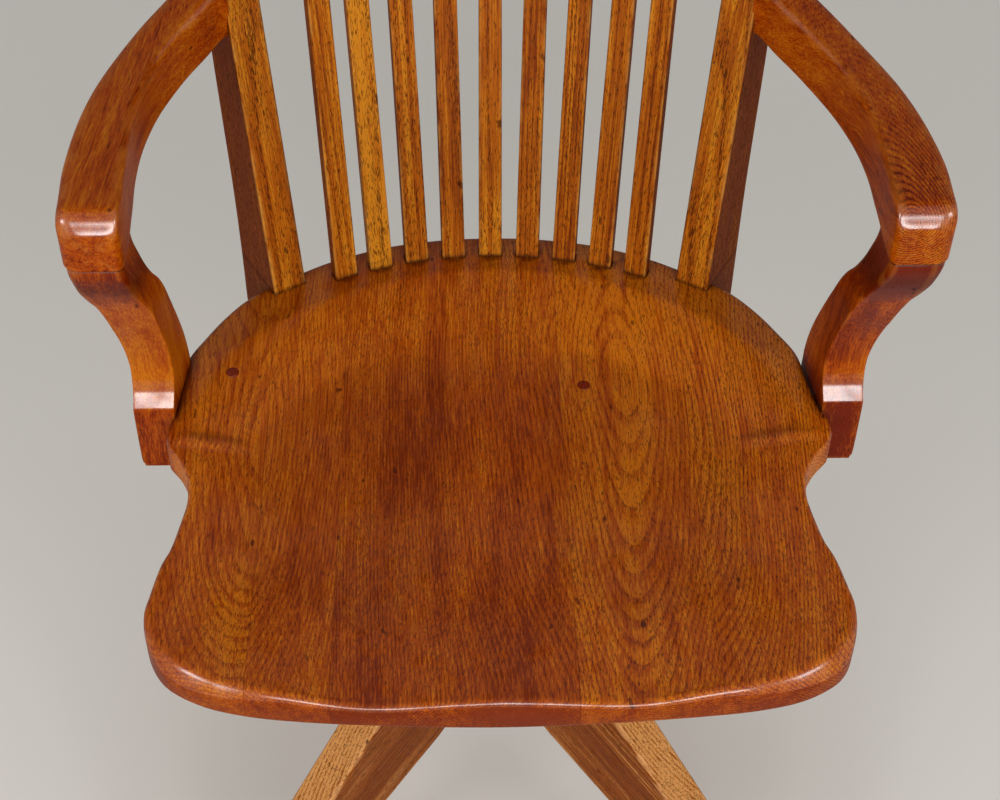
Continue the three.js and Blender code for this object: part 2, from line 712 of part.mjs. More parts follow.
function tensionBolt() {
  const shank = rod(boltWide / 2, knobTop - knobHigh - boltPast, boltPinHigh, smallSides);
  const head = crossRod(boltWide / 2, -boltHeadLong / 2, boltHeadLong / 2, 0, boltPinHigh, smallSides);
  return shank.add(head).translate([0, -boltOut, 0]);
}

// The line that the spring's wire follows: a helix round the tension bolt.
function springPath() {
  const steps = Math.round(springTurns * turnSteps);
  const low = springFoot + springWire / 2 + fit;
  const high = springTop - springWire / 2;
  return Array.from({ length: steps + 1 }, (_, i) => {
    const angle = i / turnSteps * 2 * Math.PI;
    const z = mix(low, high, i / steps);
    return new THREE.Vector3(springMid / 2 * Math.cos(angle), -boltOut + springMid / 2 * Math.sin(angle), z);
  });
}

function springRings(path) {
  return path.map((point) => {
    const out = new THREE.Vector3(point.x, point.y + boltOut, 0).normalize();
    return Array.from({ length: wireSides }, (_, i) => {
      const angle = i / wireSides * 2 * Math.PI;
      return point.clone().addScaledVector(out, springWire / 2 * Math.cos(angle))
        .add(new THREE.Vector3(0, 0, springWire / 2 * Math.sin(angle)));
    });
  });
}

// Least gap between points of the wire's surface that are at least half a turn apart.
function springGap(rings) {
  let least = Infinity;
  rings.forEach((ring, i) => {
    for (const other of rings.slice(i + turnSteps / 2)) {
      for (const a of ring) for (const b of other) least = Math.min(least, a.distanceTo(b));
    }
  });
  return least;
}

// A round grip with lobes, a hole through it and the axis of the hole along z.
function lobedWheel(wide, lobes, lobeWide, z0, z1, hole) {
  const body = wide / 2 - lobeWide / 4;
  let wheel = rod(body, z0, z1, fineSides);
  for (let i = 0; i < lobes; i += 1) {
    const angle = i / lobes * 2 * Math.PI;
    const lobe = rod(lobeWide / 2, z0, z1, smallSides);
    const out = wide / 2 - lobeWide / 2 + lobeWide / 4;
    wheel = wheel.add(lobe.translate([out * Math.cos(angle), out * Math.sin(angle), 0]));
  }
  return wheel.subtract(rod(hole, z0 - overrun, z1 + overrun, fineSides));
}

// Base

function hub() {
  const outer = hubFlat / 2 / Math.cos(Math.PI / hubSides);
  const bevel = outer - hubChamfer;
  const profile = [[0, hubLow], [bevel, hubLow], [outer, hubLow + hubChamfer], [outer, hubHigh - hubChamfer],
    [bevel, hubHigh], [0, hubHigh]];
  const bore = rod(holeRadius(bushWide / 2, fineSides), hubLow - overrun, hubHigh + overrun, fineSides);
  let column = turned(profile, hubSides).rotate([0, 0, 180 / hubSides]).subtract(bore);
  for (let i = 0; i < legCount; i += 1) column = column.subtract(legTenon(fit).rotate([0, 0, legAngle(i)]));
  return column;
}

const legAngle = (i) => 360 * (i + 1 / 2) / legCount;
const legAt = ([out, up]) => [out * legReach, up * hubHigh];

// The leg's outline at the hub: its lowest and highest point where it meets the hub's flat.
function legHeightsAtHub() {
  const reach = hubFlat / 2;
  return [legLowShares, legTopShares].map((shares) => {
    const points = shares.map(legAt);
    const past = points.findIndex(([r], i) => i > 0 && (r - reach) * (points[i - 1][0] - reach) <= 0);
    const [[r0, z0], [r1, z1]] = [points[past - 1], points[past]];
    return mix(z0, z1, (reach - r0) / (r1 - r0));
  });
}

function legTenon(grow = 0) {
  const [low, high] = legHeightsAtHub();
  const flat = hubFlat / 2;
  return block(
    flat - legTenonLong - grow, flat + overrun, -legTenonWide / 2 - grow, legTenonWide / 2 + grow,
    low + legTenonInset - grow, high - legTenonInset + grow,
  );
}

function leg() {
  const toe = [[legReach * legToeShare, padHigh]];
  const pad = [[legReach * legPadShare, padHigh]];
  const outline = [...legTopShares.map(legAt), ...toe, ...pad, ...legLowShares.map(legAt)];
  const board = facingOut(uprightAlong(plate(outline, -legThick / 2, legThick / 2, legRound)));
  const start = block(-overrun, hubFlat / 2 + fit, -legThick, legThick, 0, hubHigh + overrun);
  return board.subtract(start).add(legTenon());
}

// Casters, built about their own swivel axis

function casterSocket() {
  const bore = holeRadius(stemWide / 2, smallSides);
  const profile = [[bore, flangeLow], [socketFlange / 2, flangeLow], [socketFlange / 2, padHigh],
    [sleeveWide / 2, padHigh], [sleeveWide / 2, padHigh + sleeveLong], [bore, padHigh + sleeveLong],
    [bore, flangeLow]];
  return turned(profile, fineSides);
}

function casterFork() {
  const hornIn = wheelWide / 2 + wheelGap;
  const crownLow = crownHigh - crownThick;
  const half = hornIn + hornThick;
  let fork = rod(stemWide / 2, crownLow, padHigh + sleeveLong - stemShort, smallSides);
  fork = fork.add(rod(half, crownLow, crownHigh, coarseSides));
  const eye = axleWide;
  const cut = eye * eyeShare;
  const side = [[-half * crownNarrowShare, crownHigh], [trail + eye, crownLow], [trail + eye, axleHigh],
    [trail + cut, axleHigh - cut], [trail, axleHigh - eye], [trail - cut, axleHigh - cut],
    [trail - eye, axleHigh]];
  for (const [w0, w1] of [[hornIn, half], [-half, -hornIn]]) {
    fork = fork.add(facingOut(uprightAlong(plate(side, w0, w1))));
  }
  const bridge = [crownLow, crownLow + crownThick / 2];
  fork = fork.add(block(-half * crownNarrowShare, trail + eye, -half, half, ...bridge));
  const hole = axleAlong(holeRadius(axleWide / 2, smallSides), half + overrun);
  return fork.subtract(hole);
}

function axleAlong(radius, half) {
  return rod(radius, -half, half, smallSides).rotate([90, 0, 0]).translate([trail, 0, axleHigh]);
}

function casterWheel() {
  const radius = wheelRound / 2 / Math.cos(Math.PI / fineSides);
  const half = wheelWide / 2;
  const bore = holeRadius(axleWide / 2, smallSides);
  const rim = radius - wheelShoulder;
  const profile = [[bore, -half], [rim, -half], [radius, -half + wheelShoulder],
    [radius, half - wheelShoulder], [rim, half], [bore, half], [bore, -half]];
  const wheel = turned(profile, fineSides).rotate([0, 0, 180 / fineSides]);
  return wheel.rotate([90, 0, 0]).translate([trail, 0, axleHigh]);
}

// The chair: seat

function makeSeat() {
  let blank = seatBlank();
  for (const x of slatPlaces) blank = blank.subtract(slat(x, fit));
  const posts = post(fit);
  const stumps = stump(fit);
  const screw = stumpScrew(fit);
  for (const cutter of [posts, stumps, screw]) blank = blank.subtract(cutter).subtract(mirrored(cutter));
  for (const place of screwPlaces) blank = blank.subtract(seatScrew(place, fit));
  for (const share of plugShares) blank = blank.subtract(seatPlug(share, fit));
  const lastJoint = seatPoint(postFootShares)[0] - postWide * Math.cos(radians(postTurn)) - fit - jointToPost;
  const joints = [...boardJointShares.map((share) => share * seatHalfWide), lastJoint];
  joints.forEach((x, i) => {
    const [right, left] = blank.splitByPlane([1, 0, 0], x);
    piece(`seat_board_${i + 1}`, left, "seat_oak");
    blank = right;
  });
  piece(`seat_board_${joints.length + 1}`, blank, "seat_oak");
}

function seatPlug(share, grow = 0) {
  const [x, y] = seatPoint(share);
  const top = seatTopAt(x, y);
  const low = top - plugDeep - grow;
  const high = grow > 0 ? seatTop + overrun : top;
  return rod(plugWide / 2 + grow, low, high, smallSides).translate([x, y, 0]);
}

function makeBack() {
  let rail = crestRail();
  slatPlaces.forEach((x, i) => {
    piece(`slat_${i + 1}`, slat(x), "slat_oak");
    rail = rail.subtract(slat(x, fit));
  });
  const right = post();
  piece("post_right", right, "slat_oak");
  piece("post_left", mirrored(right), "slat_oak");
  const mortise = loft([
    postRing(railBottom - overrun, postDepthShares.at(-1)[1], fit, postTenonShare),
    postRing(railBottom + railTenonIn + fit, postDepthShares.at(-1)[1], fit, postTenonShare),
  ]);
  rail = rail.subtract(mortise).subtract(mirrored(mortise));
  piece("crest_rail", rail, "slat_oak");
}

function makeArms() {
  const rightArm = arm().subtract(post(fit));
  piece("arm_right", rightArm, "arm_oak");
  piece("arm_left", mirrored(rightArm), "arm_oak");
  const rightStump = stump().subtract(stumpScrew(fit));
  piece("stump_right", rightStump, "arm_oak");
  piece("stump_left", mirrored(rightStump), "arm_oak");
  const screw = stumpScrew();
  piece("stump_screw_right", screw, "bright_steel");
  piece("stump_screw_left", mirrored(screw), "bright_steel");
  const names = ["seat_plug_left", "seat_plug_right"];
  plugShares.forEach((share, i) => piece(names[i], seatPlug(share), "plug_wood"));
}

function makeTilt() {
  piece("seat_iron", seatIron(), "black_iron");
  screwPlaces.forEach((place, i) => piece(`seat_screw_${i + 1}`, seatScrew(place), "bright_steel"));
  piece("yoke", yoke(), "black_iron");
  piece("tilt_pin", tiltPin(), "bright_steel");
  piece("tension_bolt", tensionBolt(), "bright_steel");
  const rings = springRings(springPath());
  console.log("least gap of the spring to itself, mm:", springGap(rings).toFixed(2));
  piece("tension_spring", loft(rings), "black_iron");
  const hole = holeRadius(boltWide / 2, smallSides);
  const boltHole = rod(hole, cupLow - overrun, springFoot + overrun, smallSides);
  const cup = rod(cupWide / 2, cupLow, springFoot, fineSides).subtract(boltHole);
  piece("spring_cup", cup.translate([0, -boltOut, 0]), "black_iron");
  const bore = holeRadius(boltWide / 2, fineSides);
  const knob = lobedWheel(knobWide, knobLobes, knobLobeWide, knobTop - knobHigh, knobTop, bore);
  piece("tension_knob", knob.translate([0, -boltOut, 0]), "black_iron");
}

function makeBase() {
  const base = new THREE.Group();
  base.rotation.z = radians(baseTurn);
  chair.add(base);
  piece("hub_column", hub(), "leg_oak", base);
  const bore = holeRadius(spindleWide / 2, fineSides);
  const bush = turned([
    [bore, hubHigh - bushLong], [bushWide / 2, hubHigh - bushLong], [bushWide / 2, hubHigh],
    [flangeWide / 2, hubHigh], [flangeWide / 2, hubHigh + flangeThick], [bore, hubHigh + flangeThick],
    [bore, hubHigh - bushLong],
  ], fineSides);
  piece("hub_bush", bush, "black_iron", base);
  const nut = lobedWheel(nutWide, nutLobes, nutLobeWide, nutLow, nutLow + nutHigh, bore);
  piece("height_nut", nut, "black_iron", base);
  const spindle = rod(spindleWide / 2, hubLow + spindleShort, bossHigh - socketTop - fit, fineSides);
  piece("spindle", spindle, "bright_steel");
  const socketHole = rod(holeRadius(sleeveWide / 2, fineSides), 0, padHigh + sleeveLong + fit, fineSides);
  const board = leg().subtract(socketHole.translate([legReach - casterIn, 0, 0]));
  for (let i = 0; i < legCount; i += 1) {
    const side = new THREE.Group();
    side.rotation.z = radians(legAngle(i));
    base.add(side);
    piece(`leg_${i + 1}`, board, "leg_oak", side);
    const caster = new THREE.Group();
    caster.position.set(legReach - casterIn, 0, 0);
    caster.rotation.z = radians(casterTurns[i]);
    side.add(caster);
    piece(`caster_socket_${i + 1}`, casterSocket(), "black_iron", caster);
    piece(`caster_fork_${i + 1}`, casterFork(), "black_iron", caster);
    piece(`caster_wheel_${i + 1}`, casterWheel(), "wheel_wood", caster);
    const past = wheelWide / 2 + wheelGap + hornThick + axlePast;
    piece(`caster_axle_${i + 1}`, axleAlong(axleWide / 2, past), "bright_steel", caster);
  }
}

makeSeat();
makeBack();
makeArms();
makeTilt();
makeBase();

chair.updateMatrixWorld(true);
const bounds = new THREE.Box3().setFromObject(chair, true);
const middle = bounds.getCenter(new THREE.Vector3());
chair.position.set(-middle.x, -middle.y, -bounds.min.z);
console.log("spindle's axis, mm:", chair.position.toArray().map((value) => value.toFixed(3)).join(" "));
const extent = bounds.getSize(new THREE.Vector3());
console.log("chair's size, mm:", extent.toArray().map((value) => value.toFixed(1)).join(" "));

export default chair;
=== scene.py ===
# %% [markdown]
# # An oak swivel desk chair
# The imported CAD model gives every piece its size, place and joint. This script keeps those and
# dresses them: the carved seat, the bent and sawn oak members and the iron fittings are built again
# with the soft edges, joints and surfaces that the real ones have.
# All lengths are in metres, with the origin on the floor and the chair's front facing -Y.

# %% Load the frame
import json
import math

import bmesh
import bpy
import numpy as np
from mathutils import Matrix, Vector

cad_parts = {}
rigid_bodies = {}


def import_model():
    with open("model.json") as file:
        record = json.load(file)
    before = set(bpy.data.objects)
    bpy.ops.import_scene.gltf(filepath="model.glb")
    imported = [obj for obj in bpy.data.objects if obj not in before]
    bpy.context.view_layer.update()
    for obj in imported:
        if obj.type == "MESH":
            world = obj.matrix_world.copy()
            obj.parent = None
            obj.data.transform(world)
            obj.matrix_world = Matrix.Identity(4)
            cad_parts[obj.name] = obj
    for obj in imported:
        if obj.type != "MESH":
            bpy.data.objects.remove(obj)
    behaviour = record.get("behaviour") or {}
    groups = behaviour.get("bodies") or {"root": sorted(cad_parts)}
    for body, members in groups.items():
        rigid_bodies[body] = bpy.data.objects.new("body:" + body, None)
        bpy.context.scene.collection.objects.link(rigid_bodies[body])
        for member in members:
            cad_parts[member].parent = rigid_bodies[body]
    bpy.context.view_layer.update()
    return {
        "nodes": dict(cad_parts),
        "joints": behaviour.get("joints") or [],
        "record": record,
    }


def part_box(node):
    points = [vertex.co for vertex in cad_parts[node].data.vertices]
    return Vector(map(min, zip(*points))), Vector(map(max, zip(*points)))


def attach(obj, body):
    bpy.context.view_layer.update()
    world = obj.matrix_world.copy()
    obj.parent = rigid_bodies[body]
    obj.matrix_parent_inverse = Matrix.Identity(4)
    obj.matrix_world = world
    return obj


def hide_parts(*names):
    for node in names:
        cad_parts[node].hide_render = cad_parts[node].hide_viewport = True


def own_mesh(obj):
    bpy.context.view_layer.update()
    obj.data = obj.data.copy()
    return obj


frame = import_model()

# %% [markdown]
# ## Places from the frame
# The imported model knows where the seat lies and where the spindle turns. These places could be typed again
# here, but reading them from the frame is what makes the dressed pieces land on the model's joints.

joints = {joint["name"]: joint for joint in frame["joints"]}
axis_y = joints["seat_swivel"]["pos_m"][1]
board_names = [name for name in frame["nodes"] if name.startswith("seat_board_")]
board_boxes = [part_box(name) for name in board_names]
seat_low = min(low.z for low, high in board_boxes)
seat_thick = 0.046  # at the raised rim
seat_rim = seat_low + seat_thick
front_y = min(low.y for low, high in board_boxes)
back_y = max(high.y for low, high in board_boxes)
seat_deep = back_y - front_y
print(f"spindle axis at y {axis_y:.4f}, seat {front_y:.4f} to {back_y:.4f}, rim {seat_rim:.4f}")

# %% [markdown]
# ## Skins and rounded members
# A joiner's piece is a run of sections. Each section here is a ring of corners, each corner is cut to a
# small arc as wear and sanding leave it, and a skin joins the rings. A bevel on a finished box would give
# the same edge all over, while the sections let it change along the piece. The number "wear" goes with
# each point, and is 1 on an arris that hands and cloth have rubbed. Dirt with painted shade, and gloss,
# are added further down.

# %% Make a closed mesh from rings of points
GUARD = 0.0022  # how far the worn strip beside an arris reaches


def finish_mesh(name, mesh, sharp_degrees=32):
    """Turn the faces outwards, shade them smooth up to the sharp edges, and put the mesh in the scene."""
    mesh.update()
    shell = bmesh.new()
    shell.from_mesh(mesh)
    bmesh.ops.recalc_face_normals(shell, faces=shell.faces)
    shell.to_mesh(mesh)
    shell.free()
    mesh.shade_smooth()
    mesh.set_sharp_from_angle(angle=math.radians(sharp_degrees))
    piece = bpy.data.objects.new(name, mesh)
    bpy.context.scene.collection.objects.link(piece)
    return piece


def paint(piece, name, values):
    """Store one number for each point. The finishes read it by its name."""
    mesh = piece.data
    attribute = mesh.attributes.get(name) or mesh.attributes.new(name, "FLOAT", "POINT")
    attribute.data.foreach_set("value", np.asarray(values, np.float32))


def points_of(piece):
    flat = np.zeros(len(piece.data.vertices) * 3, np.float32)
    piece.data.vertices.foreach_get("co", flat)
    return flat.reshape(-1, 3).astype(float)


def normals_of(piece):
    return np.array([vertex.normal for vertex in piece.data.vertices])


def skin(name, rings, wear, sharp_degrees=32):
    """A closed mesh over a run of rings, with a fan of faces on the first and the last."""
    rings = np.asarray(rings, float)
    count, around, _ = rings.shape
    points = np.vstack([rings.reshape(-1, 3), rings[0].mean(0), rings[-1].mean(0)])
    step = np.arange(around)
    after = (step + 1) % around
    faces = []
    for ring in range(count - 1):
        here, beside = ring * around + step, ring * around + after
        faces += np.stack([here, beside, beside + around, here + around], 1).tolist()
    last = (count - 1) * around
    faces += [[count * around, b, a] for a, b in zip(step.tolist(), after.tolist())]
    faces += [[count * around + 1, last + a, last + b] for a, b in zip(step.tolist(), after.tolist())]
    mesh = bpy.data.meshes.new(name)
    mesh.from_pydata(points.tolist(), [], faces)
    piece = finish_mesh(name, mesh, sharp_degrees)
    paint(piece, "wear", np.append(np.asarray(wear, float).ravel(), [0, 0]))
    return piece


# %% Round a section's corners
CUT_SHARE = 0.3  # the most of a side that one corner's rounding takes
GUARD_SHARE = 0.15  # and the most that the worn strip beside it takes


def corner_arc(corner, before, after, radius):
    """Points across one corner, from the flat before it to the flat after it, and how worn each is."""
    to_before, to_after = before - corner, after - corner
    reach_before, reach_after = np.linalg.norm(to_before), np.linalg.norm(to_after)
    cut = min(radius, CUT_SHARE * reach_before, CUT_SHARE * reach_after)
    start = corner + to_before * cut / reach_before
    end = corner + to_after * cut / reach_after
    guard = min(GUARD, GUARD_SHARE * reach_before, GUARD_SHARE * reach_after)
    points = [corner + to_before * (cut + guard) / reach_before]
    for share in (0, 0.25, 0.5, 0.75, 1):
        points.append((1 - share) ** 2 * start + 2 * share * (1 - share) * corner + share ** 2 * end)
    points.append(corner + to_after * (cut + guard) / reach_after)
    return points, [0, 0.6, 1, 1, 1, 0.6, 0]


def round_section(corners, radii):
    """A section's ring of points with every corner rounded, and how worn each point is."""
    corners = np.asarray(corners, float)
    points, wear = [], []
    for i, corner in enumerate(corners):
        arc, worn = corner_arc(corner, corners[i - 1], corners[(i + 1) % len(corners)], radii[i])
        points += arc
        wear += worn
    return np.array(points), np.array(wear, float)


# %% Round the ends of a member
def end_rings(ring, wear, inward, radius):
    """Rings that round a member's end over, from its flank to its end face. inward points into it."""
    middle = ring.mean(0)
    spokes = ring - middle
    lengths = np.linalg.norm(spokes, axis=1, keepdims=True)
    rings, worn = [ring + inward * (radius + GUARD)], [wear]
    for turn in np.radians([0, 30, 60, 90]):
        share = 1 - radius * (1 - math.cos(turn)) / lengths
        rings.append(middle + spokes * share + inward * radius * (1 - math.sin(turn)))
        worn.append(np.ones(len(ring)))
    rings.append(middle + spokes * (1 - (radius + GUARD) / lengths))
    worn.append(np.zeros(len(ring)))
    return rings, worn


def member(name, sections, radius, end_radius=(0, 0)):
    """A closed piece through sections of corners. radius is one size, or one for each corner."""
    radii = np.broadcast_to(radius, (len(sections), len(sections[0])))
    rounded = [round_section(section, sizes) for section, sizes in zip(sections, radii)]
    rings = [ring for ring, _ in rounded]
    wear = [worn for _, worn in rounded]
    for end in (0, 1):
        rings, wear = rings[::-1], wear[::-1]
        size = end_radius[1 - end]
        if not size:
            continue
        inward = rings[1].mean(0) - rings[0].mean(0)
        inward /= np.linalg.norm(inward)
        deep = [(ring.mean(0) - rings[0].mean(0)) @ inward > 1.2 * (size + GUARD) for ring in rings]
        first, first_wear = end_rings(rings[0], wear[0], inward, size)
        rings = first[::-1] + [ring for ring, kept in zip(rings, deep) if kept]
        wear = first_wear[::-1] + [worn for worn, kept in zip(wear, deep) if kept]
    return skin(name, rings, wear)


# %% [markdown]
# ## Lines that a maker would draw
# A sawn curve runs smoothly through a few marks on the plank. A spline through the marks gives it, and
# three small shapes of a number serve all the rest: an eased step, a mix of two values and a soft bump.

# %% Smooth lines through chosen points
def smooth(low, high, value):
    """0 at low, 1 at high, and eased between them."""
    share = np.clip((value - low) / (high - low), 0, 1)
    return share * share * (3 - 2 * share)


def mix(a, b, share):
    return a + (b - a) * share


def bump(value):
    """1 at 0, and nearly nothing beyond 2 on either side."""
    return np.exp(-value * value)


def curve_through(rows, per_span, closed=False):
    """A centripetal Catmull-Rom curve through rows of numbers."""
    rows = np.asarray(rows, float)
    if closed:
        padded = np.vstack([rows[-1], rows, rows[:2]])
    else:
        padded = np.vstack([2 * rows[0] - rows[1], rows, 2 * rows[-1] - rows[-2]])
    found = []
    for p0, p1, p2, p3 in zip(padded, padded[1:], padded[2:], padded[3:]):
        t0 = 0
        t1 = t0 + max(np.linalg.norm(p1 - p0), 1e-9) ** 0.5
        t2 = t1 + max(np.linalg.norm(p2 - p1), 1e-9) ** 0.5
        t3 = t2 + max(np.linalg.norm(p3 - p2), 1e-9) ** 0.5
        for t in np.linspace(t1, t2, per_span, endpoint=False):
            a1 = mix(p0, p1, (t - t0) / (t1 - t0))
            a2 = mix(p1, p2, (t - t1) / (t2 - t1))
            a3 = mix(p2, p3, (t - t2) / (t3 - t2))
            b1 = mix(a1, a2, (t - t0) / (t2 - t0))
            b2 = mix(a2, a3, (t - t1) / (t3 - t1))
            found.append(mix(b1, b2, (t - t1) / (t2 - t1)))
    if not closed:
        found.append(rows[-1])
    return np.array(found)


def spaced(points, count):
    """The same closed line with its points evenly spaced."""
    loop = np.vstack([points, points[:1]])
    reach = np.append(0, np.cumsum(np.linalg.norm(np.diff(loop, axis=0), axis=1)))
    places = np.linspace(0, reach[-1], count, endpoint=False)
    return np.stack([np.interp(places, reach, loop[:, axis]) for axis in range(loop.shape[1])], 1)


# %% [markdown]
# ## The seat
# The real seat is five oak boards glued edge to edge, sawn to the saddle outline and then carved: a
# broad hollow, a low pommel at the front, and lugs where the arm stumps are screwed on. It is carved as
# one skin here too, then cut for the slats, posts, stumps and plugs, and only then split into boards.

# %% Outline of the seat
half_wide = 0.2495
outline_count = 520
# marks on the right half: across as a share of half the width, then back as a share of the depth
outline_shares = [
    (0, 0), (0.27, 0.004), (0.545, 0.014), (0.705, 0.027), (0.826, 0.047), (0.926, 0.08), (0.982, 0.126),
    (1.001, 0.173), (0.993, 0.21), (0.974, 0.267), (0.954, 0.299), (0.935, 0.351), (0.923, 0.396),
    (0.926, 0.421), (0.938, 0.446), (0.968, 0.476), (1.001, 0.4975), (1.010, 0.504), (1.017, 0.524),
    (1.014, 0.549), (0.998, 0.569), (0.983, 0.635), (0.968, 0.699), (0.922, 0.749), (0.865, 0.8),
    (0.8, 0.844), (0.715, 0.881), (0.609, 0.918), (0.527, 0.942), (0.367, 0.975), (0.189, 0.994), (0, 1),
]


def seat_point(across, deep):
    return np.array([across * half_wide, front_y + deep * seat_deep])


right_half = np.array([seat_point(*share) for share in outline_shares])
left_half = right_half[-2:0:-1] * [-1, 1]
outline = spaced(curve_through(np.vstack([right_half, left_half]), 16, closed=True), outline_count)
LUG_ASIDE = 0.0036  # both lugs, and the stumps on them, stand this far to one side
outline[:, 0] += LUG_ASIDE * bump(((outline[:, 1] - front_y) / seat_deep - 0.53) / 0.09)
# sawn by eye, so both front corners are a little fuller than the marks, the right one more
right_fuller, left_fuller = 0.0062, 0.0022
at_front = bump(((outline[:, 1] - front_y) / seat_deep - 0.06) / 0.07)
fuller = at_front * smooth(0.45, 0.85, np.abs(outline[:, 0]) / half_wide)
fuller *= np.where(outline[:, 0] > 0, right_fuller, left_fuller)
outline += np.column_stack([np.sign(outline[:, 0]) * fuller, -0.5 * fuller])
right_side = outline[outline[:, 0] > 0]
right_side = right_side[np.argsort(right_side[:, 1])]
print("outline points:", len(outline), "widest:", round(float(np.ptp(outline[:, 0])), 4))

# %% [markdown]
# ### The carving
# Two hollows for the thighs run back from the front edge into one broad bowl. A low ridge parts them.
# The bowl ends in a crease before the slats and the lugs, and the wood beyond it keeps its full height.
# Sculpting would give it too, but a height worked out at each place keeps the seat exact and smooth.

# %% Carved top of the seat
slat_arc = 0.295  # radius of the line on which the slats' faces stand
slat_inset = 0.026
arc_y = back_y - slat_inset - slat_arc
thigh_deep, thigh_out, thigh_half = 0.010, 0.095, 0.058
corner_fall = 0.006
bowl_deep, bowl_start = 0.015, 0.150
ridge_high, ridge_half = 0.004, 0.060
rim_wide = 0.017  # the flat band between the bowl's crease and the slats
back_run, side_run = 0.105, 0.075  # how far the bowl takes to rise at the back and the sides
lug_start, lug_end = 0.502, 0.520  # shares of the depth between which the lugs rise
edge_share = 0.62  # the carving's share that reaches the outline in front of the lugs


def half_width_at(y):
    return np.interp(y, right_side[:, 1], right_side[:, 0])


def seat_top_at(x, y):
    across = np.abs(x)
    thighs = thigh_deep * bump((across - thigh_out) / thigh_half)
    front = thighs + corner_fall * smooth(0.56, 0.86, across / half_wide)
    bowl = bowl_deep - ridge_high * bump(x / ridge_half)
    core = mix(front, bowl, smooth(0, bowl_start, y - front_y))
    run = np.clip((slat_arc - rim_wide - np.hypot(x, y - arc_y)) / back_run, 0, 1)
    back = 0.45 * (1 - (1 - run) ** 2) + 0.55 * run * run * (3 - 2 * run)
    edge = smooth(0, side_run, half_width_at(y) - across)
    ahead = 1 - smooth(lug_start, lug_end, (y - front_y) / seat_deep)
    side = mix(edge, mix(edge_share, 1, edge), ahead)
    return seat_rim - core * back * side


hollow = seat_rim - seat_top_at(0.08, front_y + np.linspace(0.1, 0.9, 81) * seat_deep)
print("the hollow is at most", round(float(hollow.max()) * 1000, 1), "mm deep beside the ridge")

# %% [markdown]
# ### The seat's edge
# Underneath, the edge is bevelled so that it looks thin. On top it is rounded over, least at the lugs and
# most at the front corners, which trousers have rubbed nearly flat. The skin is a run of rings from the
# underside's middle over the edge to the middle of the top, so the arris stays even all the way round.

# %% Skin of the seat
middle = np.array([0, front_y + seat_deep / 2])
spokes = outline - middle
spoke_lengths = np.linalg.norm(spokes, axis=1)
deep_share = (outline[:, 1] - front_y) / seat_deep
at_side = np.abs(outline[:, 0]) / half_wide
at_lug = bump((deep_share - 0.485) / 0.045) * (at_side > 0.8)
at_corner = bump((deep_share - 0.06) / 0.05) * smooth(0.5, 0.8, at_side)
edge_round = 0.0055 + 0.0065 * at_corner - 0.0036 * at_lug


def seat_ring(inset, height):
    flat = middle + spokes * (1 - inset / spoke_lengths)[:, None]
    return np.column_stack([flat, np.broadcast_to(height, len(flat))])


# the bevel below the edge: how far in, how far over the underside, and how worn
under_bevel = [(0.030, 0, 0), (0.0255, 0, 0.3), (0.0225, 0.001, 0.3), (0.0015, 0.015, 0.6), (0, 0.018, 0.2)]
# the edge's profile at a front corner, rubbed nearly flat: shares of the rounding inwards and up
rubbed_corner = [(0, 0), (0.04, 0.13), (0.15, 0.29), (0.31, 0.49), (0.47, 0.69), (0.63, 0.88),
                 (0.8, 0.975), (1, 1)]
top_rings = 60


def seat_skin():
    brim = middle + spokes * (1 - edge_round / spoke_lengths)[:, None]
    brim_high = seat_top_at(brim[:, 0], brim[:, 1])
    side_high = brim_high - edge_round
    rings = [seat_ring(inset, seat_low + up) for inset, up, _ in under_bevel]
    rings.append(seat_ring(0, side_high - GUARD))
    wear = [worn for _, _, worn in under_bevel] + [0]
    for turn, (inset, high) in zip(np.radians(np.linspace(0, 90, len(rubbed_corner))), rubbed_corner):
        inset = mix(1 - math.cos(turn), inset, at_corner)
        high = mix(math.sin(turn), high, at_corner)
        rings.append(seat_ring(edge_round * inset, side_high + edge_round * high))
        wear.append(math.sin(2 * turn) ** 0.5)
    for share in 1 - np.linspace(0, 1, top_rings)[1:-1] ** 1.25 * 0.985:
        flat = middle + (brim - middle) * share
        rings.append(np.column_stack([flat, seat_top_at(flat[:, 0], flat[:, 1])]))
        wear.append(0)
    return skin("seat_blank", rings, np.repeat(np.array(wear)[:, None], len(outline), 1))


seat_blank = seat_skin()
print("seat skin:", len(seat_blank.data.polygons), "faces")

# %% [markdown]
# ## The back
# Nine thin slats stand on an arc in the seat and fan out a little as they rise. Two deep posts, turned
# inwards, take the load, and the bowed crest rail ties them all. Each foot sits in its own mortise. One
# slat could be copied and turned into place, but then all would share one mesh. Worked out from its place
# on the arc, each leans and fans as it should and can wear its own wood.

# %% Sections of the slats and posts
slat_count = 9
slat_pitch = 0.0305
slat_wide = 0.019
slat_top_wide = 0.0176
slat_thick = 0.011
rail_low = 0.352
lean_share = 0.325  # how far the back leans backwards for each metre up
slat_fan = 0.257  # the share by which the row is wider at the rail than at the seat
post_fan = 0.108  # how far a post leans out for each metre up
slat_steps = np.arange(slat_count) - (slat_count - 1) / 2
slat_places = [slat_arc * math.sin(step * slat_pitch / slat_arc) for step in slat_steps]


def slat_corners(x, up, grow=0):
    turn = math.asin(x / slat_arc)
    along = np.array([math.cos(turn), -math.sin(turn), 0])
    out = np.array([math.sin(turn), math.cos(turn), 0])
    fan = 1 + slat_fan * up / rail_low * (1 - 0.3 * (x / slat_places[-1]) ** 4)
    y = arc_y + slat_arc * math.cos(turn) + lean_share * up
    front = np.array([x * fan, y, seat_rim + up])
    half = mix(slat_wide, slat_top_wide, up / rail_low) / 2 + grow
    return [front - along * half - out * grow,
            front + along * half - out * grow,
            front + along * half + out * (slat_thick + grow),
            front - along * half + out * (slat_thick + grow)]


post_wide = 0.0284
post_deep = 0.061
post_turn = math.radians(30.7)
